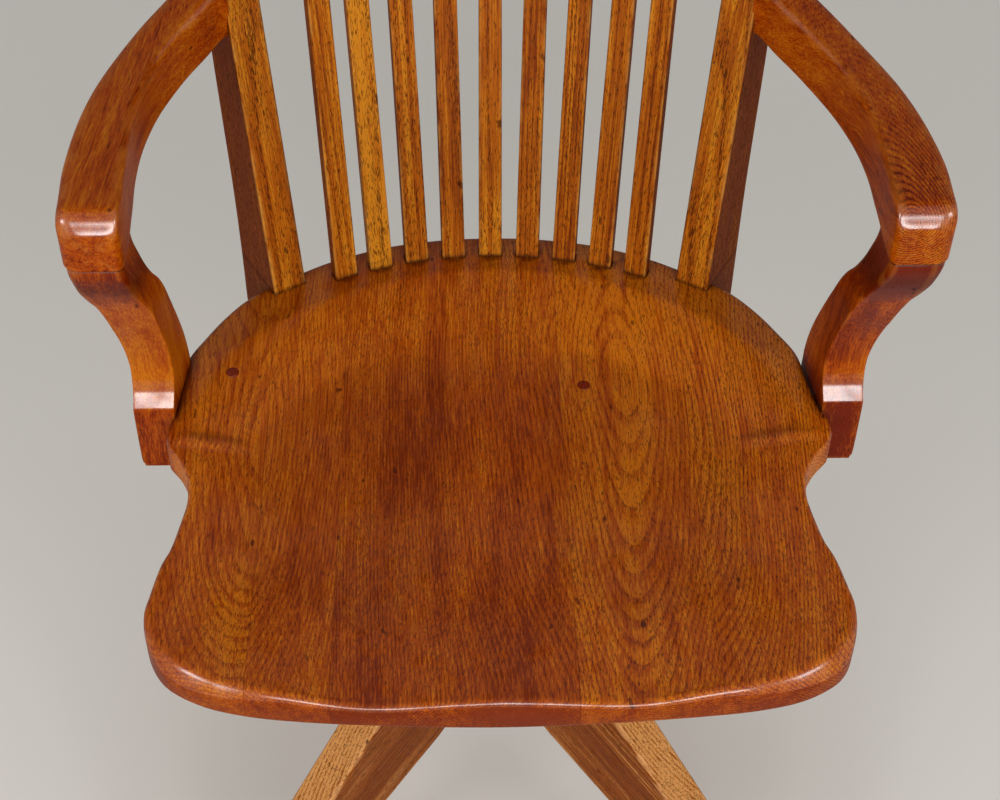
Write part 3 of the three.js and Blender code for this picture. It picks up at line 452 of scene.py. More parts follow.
# a post's taper in side view: shares of the way up to the rail, then of its depth at the foot
post_depths = curve_through([(0, 1), (0.07, 0.95), (0.185, 0.885), (0.33, 0.84), (0.48, 0.79), (0.71, 0.67),
                             (0.86, 0.54), (1, 0.36)], 5)
post_foot = seat_point(0.707, 0.8478)


def post_corners(up, depth_share, side=1, grow=0):
    inward = np.array([-math.cos(post_turn), math.sin(post_turn), 0])
    back = np.array([math.sin(post_turn), math.cos(post_turn), 0])
    lean = max(up, 0)
    start = np.array([post_foot[0] + post_fan * lean, post_foot[1] + lean_share * lean, seat_rim + up])
    ahead, behind = -grow, post_deep * depth_share + grow
    outer, inner = start - inward * grow, start + inward * (post_wide + grow)
    corners = [outer + back * ahead, inner + back * ahead, inner + back * behind, outer + back * behind]
    return np.array(corners) * [side, 1, 1]


print("slats at", [round(place, 4) for place in slat_places], "posts at", post_foot.round(4))

# %% Build the slats and posts
SIDES = {"left": -1, "right": 1}
# sections stand close together at the foot, so that the dirt there has points to sit on
slat_foot = [-0.016, 0.0005, 0.003, 0.007, 0.013, 0.022]
post_foot_ups = [0.001, 0.004, 0.008, 0.013]


def pair(make, name):
    """A left and a right piece of one kind."""
    return {side_name: make(f"{name}_{side_name}", side) for side_name, side in SIDES.items()}


def make_slat(i, x):
    ups = [*slat_foot, *np.linspace(0.06, rail_low - 0.01, 6), rail_low + 0.012]
    return member(f"oak_slat_{i + 1}", [slat_corners(x, up) for up in ups], 0.0011)


def make_post(name, side):
    ups = [(-0.052, 1), (-0.002, 1)] + [(up, 1 - 2 * up) for up in post_foot_ups]
    ups += [(up * rail_low, share) for up, share in post_depths if up * rail_low > 0.015]
    return member(name, [post_corners(up, share, side) for up, share in ups], 0.0016, (0.0012, 0))


slats = [make_slat(i, x) for i, x in enumerate(slat_places)]
posts = pair(make_post, "oak_post")
print("slats:", len(slats), "posts:", len(posts))

# %% [markdown]
# ### The crest rail
# The rail is sawn to a bow from a thick plank, and its ends are rounded down. It is one member again, run
# from side to side: the sections follow the bow, and their height falls off towards the ends.

# %% Crest rail
rail_high = 0.072
rail_thick = 0.032
rail_arc = 0.560
rail_half = post_foot[0] + post_fan * rail_low + 0.0135
rail_section = [(0, 0), (rail_thick, 0), (rail_thick, rail_high), (0, rail_high)]


def rail_corners(place):
    x = place * rail_half
    height_share = mix(0.42, 1, math.sqrt(max(1 - place ** 6, 0)))
    turn = math.asin(x / rail_arc)
    sag = rail_arc - math.sqrt(rail_arc ** 2 - x * x)
    front = arc_y + slat_arc + lean_share * rail_low - (rail_thick - slat_thick) / 2 - sag
    corners = []
    for deep, high in rail_section:
        up = high * height_share
        y = front + lean_share * up + deep * math.cos(turn)
        corners.append(np.array([x + deep * math.sin(turn), y, seat_rim + rail_low + up]))
    return corners


rail_places = np.sin(np.linspace(-0.5, 0.5, 61) * math.pi)
crest_rail = member("oak_crest_rail", [rail_corners(place) for place in rail_places],
                    (0.003, 0.003, 0.008, 0.008), (0.003, 0.003))
print("crest rail:", len(crest_rail.data.polygons), "faces")

# %% [markdown]
# ## Arms and stumps
# Each arm is sawn from a wide plank to a sweeping curve, and its front is rolled over into a knuckle that
# overhangs the stump. A profile swept along a curve would keep one width. Here pairs of marks on the two
# sawn edges give each section its own width, and the front sections follow the knuckle's roll.

# %% Plan of an arm
arm_low = 0.192
arm_thick = 0.045
stump_near = seat_point(0.998, 0.569)
stump_far = seat_point(0.968, 0.699)
knuckle = np.array([stump_near[0] + 0.011, stump_near[1] - 0.050])
at_post_up = arm_low + arm_thick / 2
at_post = np.array([post_foot[0] + post_fan * at_post_up, post_foot[1] + lean_share * at_post_up])
# the inner and the outer edge in plan, each as shares of the way from the knuckle to the post
arm_stations = curve_through([
    (-0.004, 0.002, -0.688, 0.002), (0.006, 0.042, -0.694, 0.042), (0.008, 0.118, -0.703, 0.118),
    (0, 0.237, -0.712, 0.237), (0.008, 0.384, -0.645, 0.407), (0.058, 0.507, -0.53, 0.55),
    (0.199, 0.657, -0.347, 0.693), (0.455, 0.816, -0.05, 0.871), (0.745, 0.939, 0.265, 1.014),
    (0.894, 0.994, 0.513, 1.129), (1.009, 1.014, 0.712, 1.137),
], 6)
arm_run = at_post[1] - knuckle[1]
arm_floor = seat_rim + arm_low
# the knuckle's roll in millimetres: how far behind the front face, and how far below the arm's top
knuckle_line = 0.001 * curve_through([
    (0, 16.7), (0.3, 14.4), (1.4, 12.2), (4, 8.35), (6.6, 4.5), (9.5, 1.9), (12.2, 0.6), (16, 0),
], 3)
# radii of the lower inner, lower outer, upper outer and upper inner edge
knuckle_radii = np.array([0.0012, 0.0012, 0.010, 0.0055])
arm_radii = np.array([0.004, 0.005, 0.010, 0.0065])
print("arm from", knuckle.round(4), "to", at_post.round(4))

# %% Sections of an arm
arm_rise = 0.011  # how far the arm climbs behind, to meet the post
inner_round, outer_round = 0.005, 0.010  # radii of the front face's upright edges


def rounding(behind, radius):
    """How far a quarter round of this radius stands back, at this distance behind its foremost point."""
    ahead = max(radius - behind, 0)
    return radius - math.sqrt(radius * radius - ahead * ahead)


def arm_corners(station, share, side):
    inner_x, inner_y, outer_x, outer_y = station
    rise = arm_rise * smooth(0.55, 1, share)
    inner = (mix(knuckle[0], at_post[0], inner_x) * side, mix(knuckle[1], at_post[1], inner_y))
    outer = (mix(knuckle[0], at_post[0], outer_x) * side, mix(knuckle[1], at_post[1], outer_y))
    low, high = arm_floor + rise, arm_floor + arm_thick + rise
    return np.array([(*inner, low), (*outer, low), (*outer, high), (*inner, high)])


def front_corners(behind, side):
    """A section just behind the arm's front face, where the top rolls over into it."""
    share = arm_stations[0][1] + behind / arm_run
    station = [np.interp(share, arm_stations[:, 1], column) for column in arm_stations.T]
    corners = arm_corners(station, 0, side)
    corners[:, 1] = knuckle[1] + arm_run * share
    corners[[0, 3], 0] += side * rounding(behind, inner_round)
    corners[[1, 2], 0] -= side * rounding(behind, outer_round)
    corners[:2, 2] += 0.0001
    corners[2:, 2] -= np.interp(behind, knuckle_line[:, 0], knuckle_line[:, 1])
    return corners


# %% Build the arms
def make_arm(name, side):
    face = front_corners(0, side)
    sections = [face.mean(0) + (face - face.mean(0)) * share for share in (0.5, 0.85)]
    sections += [front_corners(distance, side) for distance in knuckle_line[:, 0]]
    rest = arm_stations[arm_stations[:, 1] > arm_stations[0][1] + (knuckle_line[-1][0] + 0.002) / arm_run]
    sections += [arm_corners(station, i / (len(rest) - 1), side) for i, station in enumerate(rest)]
    eases = smooth(0.060, 0.090, np.array([section[0][1] - knuckle[1] for section in sections]))[:, None]
    return member(name, sections, mix(knuckle_radii, arm_radii, eases))


arms = pair(make_arm, "oak_arm")
print("arms:", [len(arm.data.polygons) for arm in arms.values()], "faces")

# %% [markdown]
# ### The stumps
# A stump is sawn to an S in side view, flares under the knuckle, and stands on a straight foot that is
# screwed to the seat's lug. Two views could be cut from a block, but then every edge would be equally
# sharp. Stacked sections read like a drawing, and let the edges grow rounder towards the hand.

# %% Sections of a stump
# Each row is in millimetres: how far down from the arm, then the front, rear, inner and outer faces,
# measured from the front corner of the seat's lug.
stump_shape = np.array([
    (251, 0, 60, 0.3, 29.5), (246, 0, 60, 0.3, 31.2), (230, 0, 60, 0.3, 31.6), (202, 0, 60, 0.3, 31.6),
    (190, 0.1, 59.6, 0.3, 31.5), (186.5, 0.4, 59.5, 0.2, 31.4), (185.2, 1.1, 59.2, 0.1, 31.3),
    (180.5, 4.4, 58.6, -0.3, 31), (176.5, 7.2, 58, -0.6, 31), (174, 8.6, 57.5, -0.8, 31),
    (169.5, 10.3, 56.7, -1.0, 31), (163, 11.9, 55, -1.2, 31), (152, 12.5, 52, -1.2, 31.2),
    (131, 8, 44, -0.6, 32.4), (110, 1, 35.5, 0.5, 34.6), (95, -6, 28.5, 1.2, 36),
    (80, -12.5, 21.5, 1.8, 37.5), (70, -17, 17, 2.7, 39.2), (60, -21.5, 11.5, 3.8, 41.8),
    (50, -27, 5, 5.4, 45.5), (42, -31.5, 1, 6.4, 48), (32, -37.5, -3, 7.4, 49.8),
    (20, -43.5, -5, 9, 50.6), (9, -48, -6, 10.6, 50.9), (0.2, -49.6, -6, 11.2, 50.9),
]) * 0.001
stump_slope = (stump_near[0] - stump_far[0]) / (stump_far[1] - stump_near[1])
# radii of the four edges, front inner, front outer, rear outer and rear inner
stump_foot_radii = np.array([0.0008, 0.0010, 0.0028, 0.0022])
stump_top_radii = np.array([0.0050, 0.0095, 0.0040, 0.0040])


def stump_corners(row, side=1, grow=0):
    down, front, rear, inner, outer = row
    back = (rear - front) * stump_slope * smooth(0, 0.060, down)
    corners = [(inner - grow, front - grow), (outer + grow, front - grow),
               (outer - back + grow, rear + grow), (inner - back - grow, rear + grow)]
    return np.array([(side * (stump_near[0] + x) + LUG_ASIDE, stump_near[1] + y, arm_floor - down)
                     for x, y in corners])


def make_stump(name, side):
    rows = curve_through(stump_shape, 4)
    high = smooth(0.080, 0.020, rows[:, 0])[:, None]
    radii = mix(stump_foot_radii, stump_top_radii, high)
    return member(name, [stump_corners(row, side) for row in rows], radii, (0.0012, 0))


stumps = pair(make_stump, "oak_stump")
print("stumps:", [len(stump.data.polygons) for stump in stumps.values()], "faces")

# %% [markdown]
# ### A chair that has been leant on
# On the real chair both knuckles stand a few millimetres to the same side. Moving the finished points
# keeps the stumps' feet on their lugs and lets the shift fade out along the arms towards the posts.

# %% Let the arms lean as the real pair does
KNUCKLE_ASIDE = 0.0065


def lean_aside(piece):
    """Years of use have moved both knuckles a few millimetres the same way."""
    points = points_of(piece)
    if piece in stumps.values():
        points[:, 0] += (KNUCKLE_ASIDE - LUG_ASIDE) * smooth(seat_rim, arm_floor, points[:, 2])
    else:
        points[:, 0] += KNUCKLE_ASIDE * (1 - smooth(knuckle[1] + 0.02, at_post[1] - 0.02, points[:, 1]))
    piece.data.vertices.foreach_set("co", points.astype(np.float32).ravel())
    piece.data.update()


for piece in [*arms.values(), *stumps.values()]:
    lean_aside(piece)
print("knuckles stand", KNUCKLE_ASIDE, "m to one side, the stumps' feet", LUG_ASIDE, "m")

# %% [markdown]
# ## Mortises and boards
# The feet stand in mortises with a thin dark line round them. The seat's skin is cut with slightly larger
# copies of what stands in it, and then sawn along the glue joints. A drawn line would look right only from
# afar, while a real gap is dark from every side.

# %% Cutters for the mortises
def joined_cutter(name, section_lists):
    """One mesh with a closed shell for each list of sections."""
    cutter = bmesh.new()
    for sections in section_lists:
        rings = [[cutter.verts.new(corner) for corner in section] for section in sections]
        for low, high in zip(rings, rings[1:]):
            for i in range(len(low)):
                j = (i + 1) % len(low)
                cutter.faces.new([low[i], low[j], high[j], high[i]])
        cutter.faces.new(rings[0][::-1])
        cutter.faces.new(rings[-1])
    bmesh.ops.recalc_face_normals(cutter, faces=cutter.faces)
    mesh = bpy.data.meshes.new(name)
    cutter.to_mesh(mesh)
    cutter.free()
    return bpy.data.objects.new(name, mesh)


def carved(piece, cutter, operation, name):
    """A new mesh: piece less cutter, or what they share."""
    bpy.context.scene.collection.objects.link(cutter)
    modifier = piece.modifiers.new("cut", "BOOLEAN")
    modifier.operation = operation
    modifier.solver = "MANIFOLD"
    modifier.object = cutter
    result = bpy.data.meshes.new_from_object(piece.evaluated_get(bpy.context.evaluated_depsgraph_get()))
    piece.modifiers.remove(modifier)
    result.name = name
    return result


def polygon_ring(x, y, z, radius, sides=28):
    return [(x + radius * math.cos(turn), y + radius * math.sin(turn), z)
            for turn in np.linspace(0, 2 * math.pi, sides, endpoint=False)]


def box_sections(x0, x1, y0, y1, z0, z1):
    return [[(x0, y0, z), (x1, y0, z), (x1, y1, z), (x0, y1, z)] for z in (z0, z1)]


# %% Cut the seat for everything that stands in it
gap = 0.0004
plug_radius = 0.005
plug_shares = {"left": (-0.822, 0.667), "right": (0.285, 0.655)}
feet = [[slat_corners(x, up, gap) for up in (-0.017, 0.03)] for x in slat_places]
feet += [[post_corners(up, 1, side, gap) for up in (-0.06, -0.001, 0.03)] for side in SIDES.values()]
feet += [[stump_corners(row, side, gap) for row in stump_shape[:9]] for side in SIDES.values()]
for across, deep in plug_shares.values():
    x, y = seat_point(across, deep)
    feet.append([polygon_ring(x, y, seat_rim + up, plug_radius + 0.0002) for up in (-0.022, 0.01)])
cut_mesh = carved(seat_blank, joined_cutter("feet", feet), "DIFFERENCE", "seat_cut")
seat_cut = bpy.data.objects.new("seat_cut", cut_mesh)
bpy.context.scene.collection.objects.link(seat_cut)
print("cut seat:", len(cut_mesh.polygons), "faces")

# %% Saw the seat into its five boards
joint_half = 0.00008  # half of the hair line between two boards
board_edges = sorted(high.x for low, high in board_boxes)
print("glue joints at", [round(x, 4) for x in board_edges[:-1]])
boards = []
saw_lines = [-0.3, *board_edges[:-1], 0.3]
for i, (x0, x1) in enumerate(zip(saw_lines, saw_lines[1:])):
    inside = [joint_half if 0 < i else 0, joint_half if i < len(saw_lines) - 2 else 0]
    slab = joined_cutter("slab", [box_sections(x0 + inside[0], x1 - inside[1], -0.5, 0.5, 0.3, 0.6)])
    board = finish_mesh(f"oak_board_{i + 1}", carved(seat_cut, slab, "INTERSECT", f"board_{i + 1}"))
    boards.append(board)
    print(board.name, len(board.data.polygons), "faces")
cutters = [scrap for scrap in bpy.context.scene.objects if scrap.name.startswith(("slab", "feet"))]
for scrap in [seat_blank, seat_cut, *cutters]:
    bpy.data.objects.remove(scrap)

# %% [markdown]
# ### The plugs
# Two screw holes in the seat are closed with small turned plugs, pared off level with the wood. Each is a
# short round pin of a darker wood with its edge eased, so that it reads as a piece and not as paint.

# %% Seat plugs
# radius, and height over the seat's surface
plug_profile = [(plug_radius, -0.008), (plug_radius, -0.0004), (0.0047, 0), (0.003, 0.0001)]
plugs = {}
for side_name, (across, deep) in plug_shares.items():
    x, y = seat_point(across, deep)
    top = float(seat_top_at(x, y))
    rings = [polygon_ring(x, y, top + up, radius) for radius, up in plug_profile]
    plugs[side_name] = skin(f"plug_{side_name}", rings, np.zeros((len(rings), len(rings[0]))))
    print(f"plug {side_name} at {x:.4f}, {y:.4f}, {top:.4f}")

# %% [markdown]
# ## The base
# Four legs are sawn from thick oak, tenoned to the flats of an eight-sided hub, and end in pads that
# the casters' sockets are driven into. A sawn plank is one outline in side view and the same all through
# its thickness, so rings of that outline make it. The rings next to both faces lie a little inside the
# others, which rounds the edges evenly.

# %% Shape of a leg in side view
leg_thick = 0.033
leg_reach = 0.292
hub_half = 0.044
hub_gap = 0.0003  # the hair line where a leg meets the hub
base_turn = 0.4  # degrees that the base stands turned, as it was left
hub_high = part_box("hub_column")[1].z
pad_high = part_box("caster_socket_1")[0].z + 0.003
pad_end, pad_start = 0.985, 0.781  # shares of the reach between which the toe is flat below
# the top and the underside in side view: shares of the reach outwards, and of the hub's height
leg_top = [(0, 0.9232), (0.24, 0.94), (0.318, 0.925), (0.377, 0.881), (0.445, 0.819), (0.531, 0.744),
           (0.74, 0.558), (0.839, 0.47), (0.918, 0.405), (0.969, 0.354), (0.993, 0.316), (1, 0.281)]
leg_low = [(0.74, 0.2446), (0.531, 0.332), (0.291, 0.435), (0.205, 0.484), (0, 0.5723)]


def offset_outline(points, inset):
    """A flat outline moved inwards, whichever way round its points run."""
    points = np.asarray(points, float)
    along = np.roll(points, -1, axis=0) - points
    along /= np.linalg.norm(along, axis=1, keepdims=True)
    normal = np.column_stack([-along[:, 1], along[:, 0]])
    area = np.sum(points[:, 0] * np.roll(points[:, 1], -1) - np.roll(points[:, 0], -1) * points[:, 1])
    normal *= np.sign(area)
    before = np.roll(normal, 1, axis=0)
    mitre = before + normal
    mitre /= np.maximum(np.sum(mitre * normal, axis=1, keepdims=True), 0.5)
    return points + mitre * inset


def leg_outline():
    """A leg in side view, from the hub along the top to the toe, and back along the underside."""
    top = [(out * leg_reach, up * hub_high) for out, up in leg_top]
    low = [(out * leg_reach, up * hub_high) for out, up in leg_low]
    start = (hub_half + hub_gap, np.interp(hub_half, [0, top[1][0]], [top[0][1], top[1][1]]))
    end = (hub_half + hub_gap, np.interp(hub_half, [0, low[-2][0]], [low[-1][1], low[-2][1]]))
    toe = [(leg_reach * pad_end, pad_high), (leg_reach * pad_start, pad_high)]
    return np.vstack([start, curve_through(top[1:], 4), toe, low[:-1], end])


print("a leg's outline has", len(leg_outline()), "points")

# %% Build the legs
def leg_turn(i):
    return math.radians(45 + 90 * i + base_turn)


def make_leg(i):
    outline_2d = leg_outline()
    turn = leg_turn(i)
    round_over = 0.0022
    half = leg_thick / 2
    rows = [(-half, round_over + GUARD, 0)]
    for angle in np.radians([90, 60, 30, 0]):
        rows.append((-half + round_over * (1 - math.sin(angle)), round_over * (1 - math.cos(angle)), 1))
    rows.append((-half + round_over + GUARD, 0, 0))
    rows += [(-width, inset, worn) for width, inset, worn in rows[::-1]]
    rings, wear = [], []
    for width, inset, worn in rows:
        flat = offset_outline(outline_2d, inset)
        x = flat[:, 0] * math.cos(turn) - width * math.sin(turn)
        y = flat[:, 0] * math.sin(turn) + width * math.cos(turn) + axis_y
        rings.append(np.column_stack([x, y, flat[:, 1]]))
        wear.append(np.full(len(flat), worn))
    return skin(f"oak_leg_{i + 1}", rings, wear)


legs = [make_leg(i) for i in range(4)]
print("legs:", [len(leg.data.polygons) for leg in legs], "faces")

# %% [markdown]
# ## Iron and steel
# The fittings are castings and turned parts. Their shapes are the frame's own, with each hard edge eased,
# because no cast or turned edge is perfectly sharp and a bright line along it is what shows.

# %% Ease the edges of a CAD node's shape
def eased(node, width=0.0006, crease_degrees=28):
    shape = bmesh.new()
    shape.from_mesh(frame["nodes"][node].data)
    bmesh.ops.remove_doubles(shape, verts=shape.verts, dist=1e-6)
    bmesh.ops.dissolve_limit(shape, angle_limit=math.radians(1), verts=shape.verts, edges=shape.edges)
    sharp = [edge for edge in shape.edges
             if len(edge.link_faces) == 2 and edge.calc_face_angle(0) > math.radians(crease_degrees)]
    worn = shape.faces.layers.float.new("wear")
    made = bmesh.ops.bevel(shape, geom=sharp, offset=width, segments=2, profile=0.6, affect="EDGES",
                           clamp_overlap=True)
    for face in made["faces"]:
        face[worn] = 1
    mesh = bpy.data.meshes.new(f"eased_{node}")
    shape.to_mesh(mesh)
    shape.free()
    return finish_mesh(f"eased_{node}", mesh, sharp_degrees=26)


# %% [markdown]
# ### Thread and spring
# The spindle's thread is a groove cut round a bar. Each ring of the bar is pulled in where the groove
# passes, which follows the real pitch and needs no cutting. The spring is a round wire swept up a screw
# line round the bolt, with its end turns a little closer than the middle ones.

# %% The spindle's thread
thread_pitch = 0.006
thread_deep = 0.0014


def make_spindle():
    low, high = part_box("spindle")
    radius = (high.x - low.x) / 2
    heights = np.arange(low.z, high.z, 0.0005)
    turns = np.linspace(0, 2 * math.pi, 48, endpoint=False)
    rings = []
    for z in heights:
        phase = (z / thread_pitch - turns / (2 * math.pi)) % 1
        flank = np.clip((0.5 - np.abs(phase - 0.5)) * 2, 0, 1)
        reach = radius - 0.00005 - thread_deep * (1 - smooth(0.2, 0.75, flank))
        x, y = reach * np.cos(turns), axis_y + reach * np.sin(turns)
        rings.append(np.column_stack([x, y, np.full(len(turns), z)]))
    return skin("spindle_thread", rings, np.zeros((len(rings), len(turns))), sharp_degrees=60)


spindle = make_spindle()
print("spindle:", len(spindle.data.polygons), "faces")

# %% The tension spring
coil_turns = 4.5
coil_radius = 0.015  # from the bolt's middle to the wire's
wire = 0.0021  # the wire's own radius
coil_steps, wire_sides = 140, 12


def make_spring():
    low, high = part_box("tension_spring")
    centre = Vector(((low.x + high.x) / 2, joints["bolt_pivot"]["pos_m"][1], 0))
    rings = []
    for i in range(coil_steps + 1):
        share = i / coil_steps
        turn = share * coil_turns * 2 * math.pi
        eased_share = mix(share, share * share * (3 - 2 * share), 0.35)
        z = mix(low.z + wire, high.z - wire, eased_share)
        out = Vector((math.cos(turn), math.sin(turn), 0))
        at = centre + out * coil_radius + Vector((0, 0, z))
        rings.append([at + out * wire * math.cos(a) + Vector((0, 0, wire * math.sin(a)))
                      for a in np.linspace(0, 2 * math.pi, wire_sides, endpoint=False)])
    return skin("coil_spring", np.array(rings), np.zeros((coil_steps + 1, wire_sides)), sharp_degrees=50)


spring = make_spring()
print("spring:", len(spring.data.polygons), "faces")

# %% [markdown]
# ## Dirt, painted shade and polish
# Wax and dust stay in the corners that a cloth misses, and shade is painted into the colour with them:
# round each foot, in the crease before the lugs, on the rim that the slats stand on, under the knuckles
# and on faces that look sideways. Hands and clothes polish the roundings that face forwards. Both are
# stored as numbers at each point, one for dirt with painted shade and one for gloss, because they follow
# the shape's own measures, which a noise wouldn't.

# %% Where polish and dust have gathered, and where shade is painted
def near(distance, reach):
    return np.exp(-(distance / reach) ** 2)


def beside_foot(x, y, corners, radius, reach):
    """1 within this radius of a foot's middle, and falling off over the reach beyond it."""
    foot = np.mean(corners, axis=0)
    return near(np.maximum(np.hypot(x - foot[0], y - foot[1]) - radius, 0), reach)


def seat_dirt_and_shade(points):
    """Painted shade with some dirt: dark on the rim behind the hollow's crease, round each foot, along the
    edges and beside the stumps.
    """
    x, y, z = points.T
    # painted shade on the rim behind the hollow's crease
    behind = np.hypot(x, y - arc_y) - (slat_arc - rim_wide)
    found = 0.28 * smooth(-0.0015, 0.0015, behind) * (y > 0.03)
    # painted shade in a strip inside the outline, from the lugs backwards
    to_rim = np.min(np.hypot(x[:, None] - outline[::3, 0], y[:, None] - outline[::3, 1]), axis=1)
    found = np.maximum(found, 0.42 * near(to_rim, 0.020) * smooth(0.01, 0.05, y) * (z > seat_rim - 0.010))
    # painted shade in the crease of the step up to each lug
    deep = (y - front_y) / seat_deep
    crease = near(deep - 0.526, 0.010) * smooth(0.185, 0.200, np.abs(x)) * smooth(0.250, 0.225, np.abs(x))
    found = np.maximum(found, 0.5 * crease)
    # painted shade round each slat's foot and each post's foot
    for place in slat_places:
        found = np.maximum(found, 0.8 * beside_foot(x, y, slat_corners(place, 0), 0.009, 0.003))
    for side in SIDES.values():
        found = np.maximum(found, 0.8 * beside_foot(x, y, post_corners(0, 1, side), 0.024, 0.008))
        # painted shade on the seat's top along the stump's inner face
        beside = stump_near[0] - (y - stump_near[1]) * stump_slope - side * (x - LUG_ASIDE)
        along = np.maximum(np.abs(y - stump_near[1] - 0.034) - 0.034, 0)
        found = np.maximum(found, 0.95 * near(np.maximum(beside, 0), 0.007) * near(along, 0.010))
    # painted shade on everything below the rounded edge
    found = np.maximum(found, 0.15 * (z < seat_rim - 0.012))
    return np.clip(found, 0, 1)


def facing_window(piece):
    """1 on a rounding that looks forwards and up, as a front edge's does. Clothes and hands polish it."""
    _, back, up = normals_of(piece).T
    return smooth(0.2, 0.42, up) * smooth(0.93, 0.78, up) * (back < -0.2)


def facing_aside(piece):
    """1 on the faces that look sideways. The light from the front leaves them in shade, and that shade is
    painted darker on them.
    """
    return smooth(0.45, 0.75, np.abs(normals_of(piece)[:, 0]))


# %% Paint dirt, painted shade and gloss on the pieces
for board in boards:
    paint(board, "dirt_and_shade", seat_dirt_and_shade(points_of(board)))
    upright = smooth(0.5, 0.2, normals_of(board)[:, 2])
    paint(board, "gloss", 0.3 + 0.7 * facing_window(board) - 0.26 * upright)
for piece in slats + list(posts.values()):
    # painted shade at the foot, under the rail and a little on the faces that look sideways
    up = points_of(piece)[:, 2] - seat_rim
    found = near(up, 0.0022) + 0.7 * smooth(rail_low - 0.02, rail_low, up)
    found = np.maximum(found, (0.10 if piece in slats else 0.30) * facing_aside(piece))
    paint(piece, "dirt_and_shade", np.clip(found, 0, 1))
    paint(piece, "gloss", 1 - facing_aside(piece))
for piece in stumps.values():
    paint(piece, "gloss", 0.05 + 0.95 * facing_window(piece))
    # painted shade on the front just under the knuckle, and a dark joint line right under the arm
    down = arm_floor - points_of(piece)[:, 2]
    front = points_of(piece)[:, 1] < stump_near[1] + 0.001
    paint(piece, "dirt_and_shade", 0.5 * front * near(down - 0.028, 0.016) + 0.4 * near(down, 0.0012))
for piece in arms.values():
    paint(piece, "gloss", 0.05 + 0.95 * facing_window(piece))
    paint(piece, "dirt_and_shade", np.zeros(len(piece.data.vertices)))
print("dirt and gloss on", len([*boards, *slats, *posts, *stumps, *arms]), "pieces")

# %% [markdown]
# ## Wood
# Oak is a solid texture: rings round a pith somewhere beside the plank, fibres and open pores along it.
# Each piece stores its own plank coordinates, along the grain and across it from the pith, so the figure
# follows the way the piece was sawn, and no two pieces match. The object's own coordinates would be less
# work, but they would run the grain of every piece in the same direction.

# %% Lay each piece in its plank
dice = np.random.default_rng(7)


def lay_in_plank(piece, along, pith, tone=0.0, figure=1.0):
    """along is the grain's direction, and pith the way from the piece's middle to the tree's middle."""
    points = points_of(piece)
    centre = (points.max(0) + points.min(0)) / 2
    grain = np.array(along, float) / np.linalg.norm(along)
    pith = np.array(pith, float)
    across = pith - grain * (pith @ grain)
    far = np.linalg.norm(across)
    across /= far
    beside = np.cross(grain, across)
    offset = points - centre
    plank = np.column_stack([offset @ grain + dice.uniform(1, 9), offset @ across - far, offset @ beside])
    attribute = piece.data.attributes.new("plank", "FLOAT_VECTOR", "POINT")
    attribute.data.foreach_set("vector", plank.astype(np.float32).ravel())
    paint(piece, "tone", np.full(len(points), 1.0) * tone)
    paint(piece, "figure", np.full(len(points), figure))
    if "gloss" not in piece.data.attributes:
        paint(piece, "gloss", np.ones(len(points)))


# %% Planks of the boards and slats
board_piths = [(0.03, 0, -0.09), (-0.06, 0, -0.05), (0.10, 0, -0.06), (0.0, 0, -0.045), (-0.07, 0, -0.06)]
board_tones = [0.10, 0.06, -0.12, 0.14, 0.12]
board_figures = [0.8, 0.8, 0.8, 1.0, 1.1]
for board, pith, tone, figure in zip(boards, board_piths, board_tones, board_figures):
    x, y, z = points_of(board).T
    deep = (y - front_y) / seat_deep
    upright = 1 - smooth(0.2, 0.6, normals_of(board)[:, 2])
    # painted light towards the back, where the hollow rises to face the light, and painted shade on the
    # upright faces
    tone = tone + 0.20 * smooth(0.50, 0.86, deep) - 0.05 * smooth(0.4, 0.1, deep) - 0.25 * upright
    tone = tone + 0.6 * upright * near(deep - 0.465, 0.035)  # painted light on the forward-facing flank before each lug, which is also worn pale
    lay_in_plank(board, (0.01, 1, 0.07), pith, tone, figure)
for i, slat in enumerate(slats):
    # a random tone, a paler second slat, and painted shade on the faces that look sideways
    tone = dice.uniform(-0.12, 0.12) + (0.4 if i == 1 else 0) - 0.3 * facing_aside(slat)
    lay_in_plank(slat, (slat_places[i] * 0.7, lean_share, 1), (dice.uniform(-0.05, 0.05), 0.04, 0.02), tone)
print("boards and slats laid in their planks:", len(boards) + len(slats))

# %% Planks of the posts, arms, stumps, rail, legs and plugs
for side_name, side in SIDES.items():
    # painted shade on the posts' faces that look sideways
    tone = 0.05 - 0.55 * facing_aside(posts[side_name])
    lay_in_plank(posts[side_name], (side * 0.15, lean_share, 1), (side * 0.03, 0.07, 0), tone)
    # the right arm is cut across its rings, so they close in loops over the knuckle
    fall, pith_aside, pith_down = (-0.05, -0.012, -0.060) if side < 0 else (-0.24, 0.005, -0.026)
    behind = points_of(arms[side_name])[:, 1] + 0.110
    loops = (0.25 + 0.75 * smooth(0.17, 0.05, behind)) * (1 - 0.8 * facing_aside(arms[side_name]))
    figure = 0.1 if side < 0 else loops
    lay_in_plank(arms[side_name], (-side * 0.12, 1, fall), (pith_aside, 0, pith_down), 0, figure)
    down = arm_floor - points_of(stumps[side_name])[:, 2]
    # painted light where a stump's curve bulges and just above its foot, painted shade under the knuckle and
    # on its foot, and the right stump painted darker than the left as shade
    tone = -0.12 - 0.19 * side + 0.2 * near(down - 0.150, 0.045) - 0.35 * near(down - 0.025, 0.030)
    tone += 0.2 * near(down - 0.166, 0.012)
    tone -= 0.2 * smooth(0.186, 0.188, down)
    lay_in_plank(stumps[side_name], (0, -0.15, 1), (side * 0.08, 0.02, 0), tone, 0.15)
lay_in_plank(crest_rail, (1, 0, 0), (0, 0.05, -0.06))
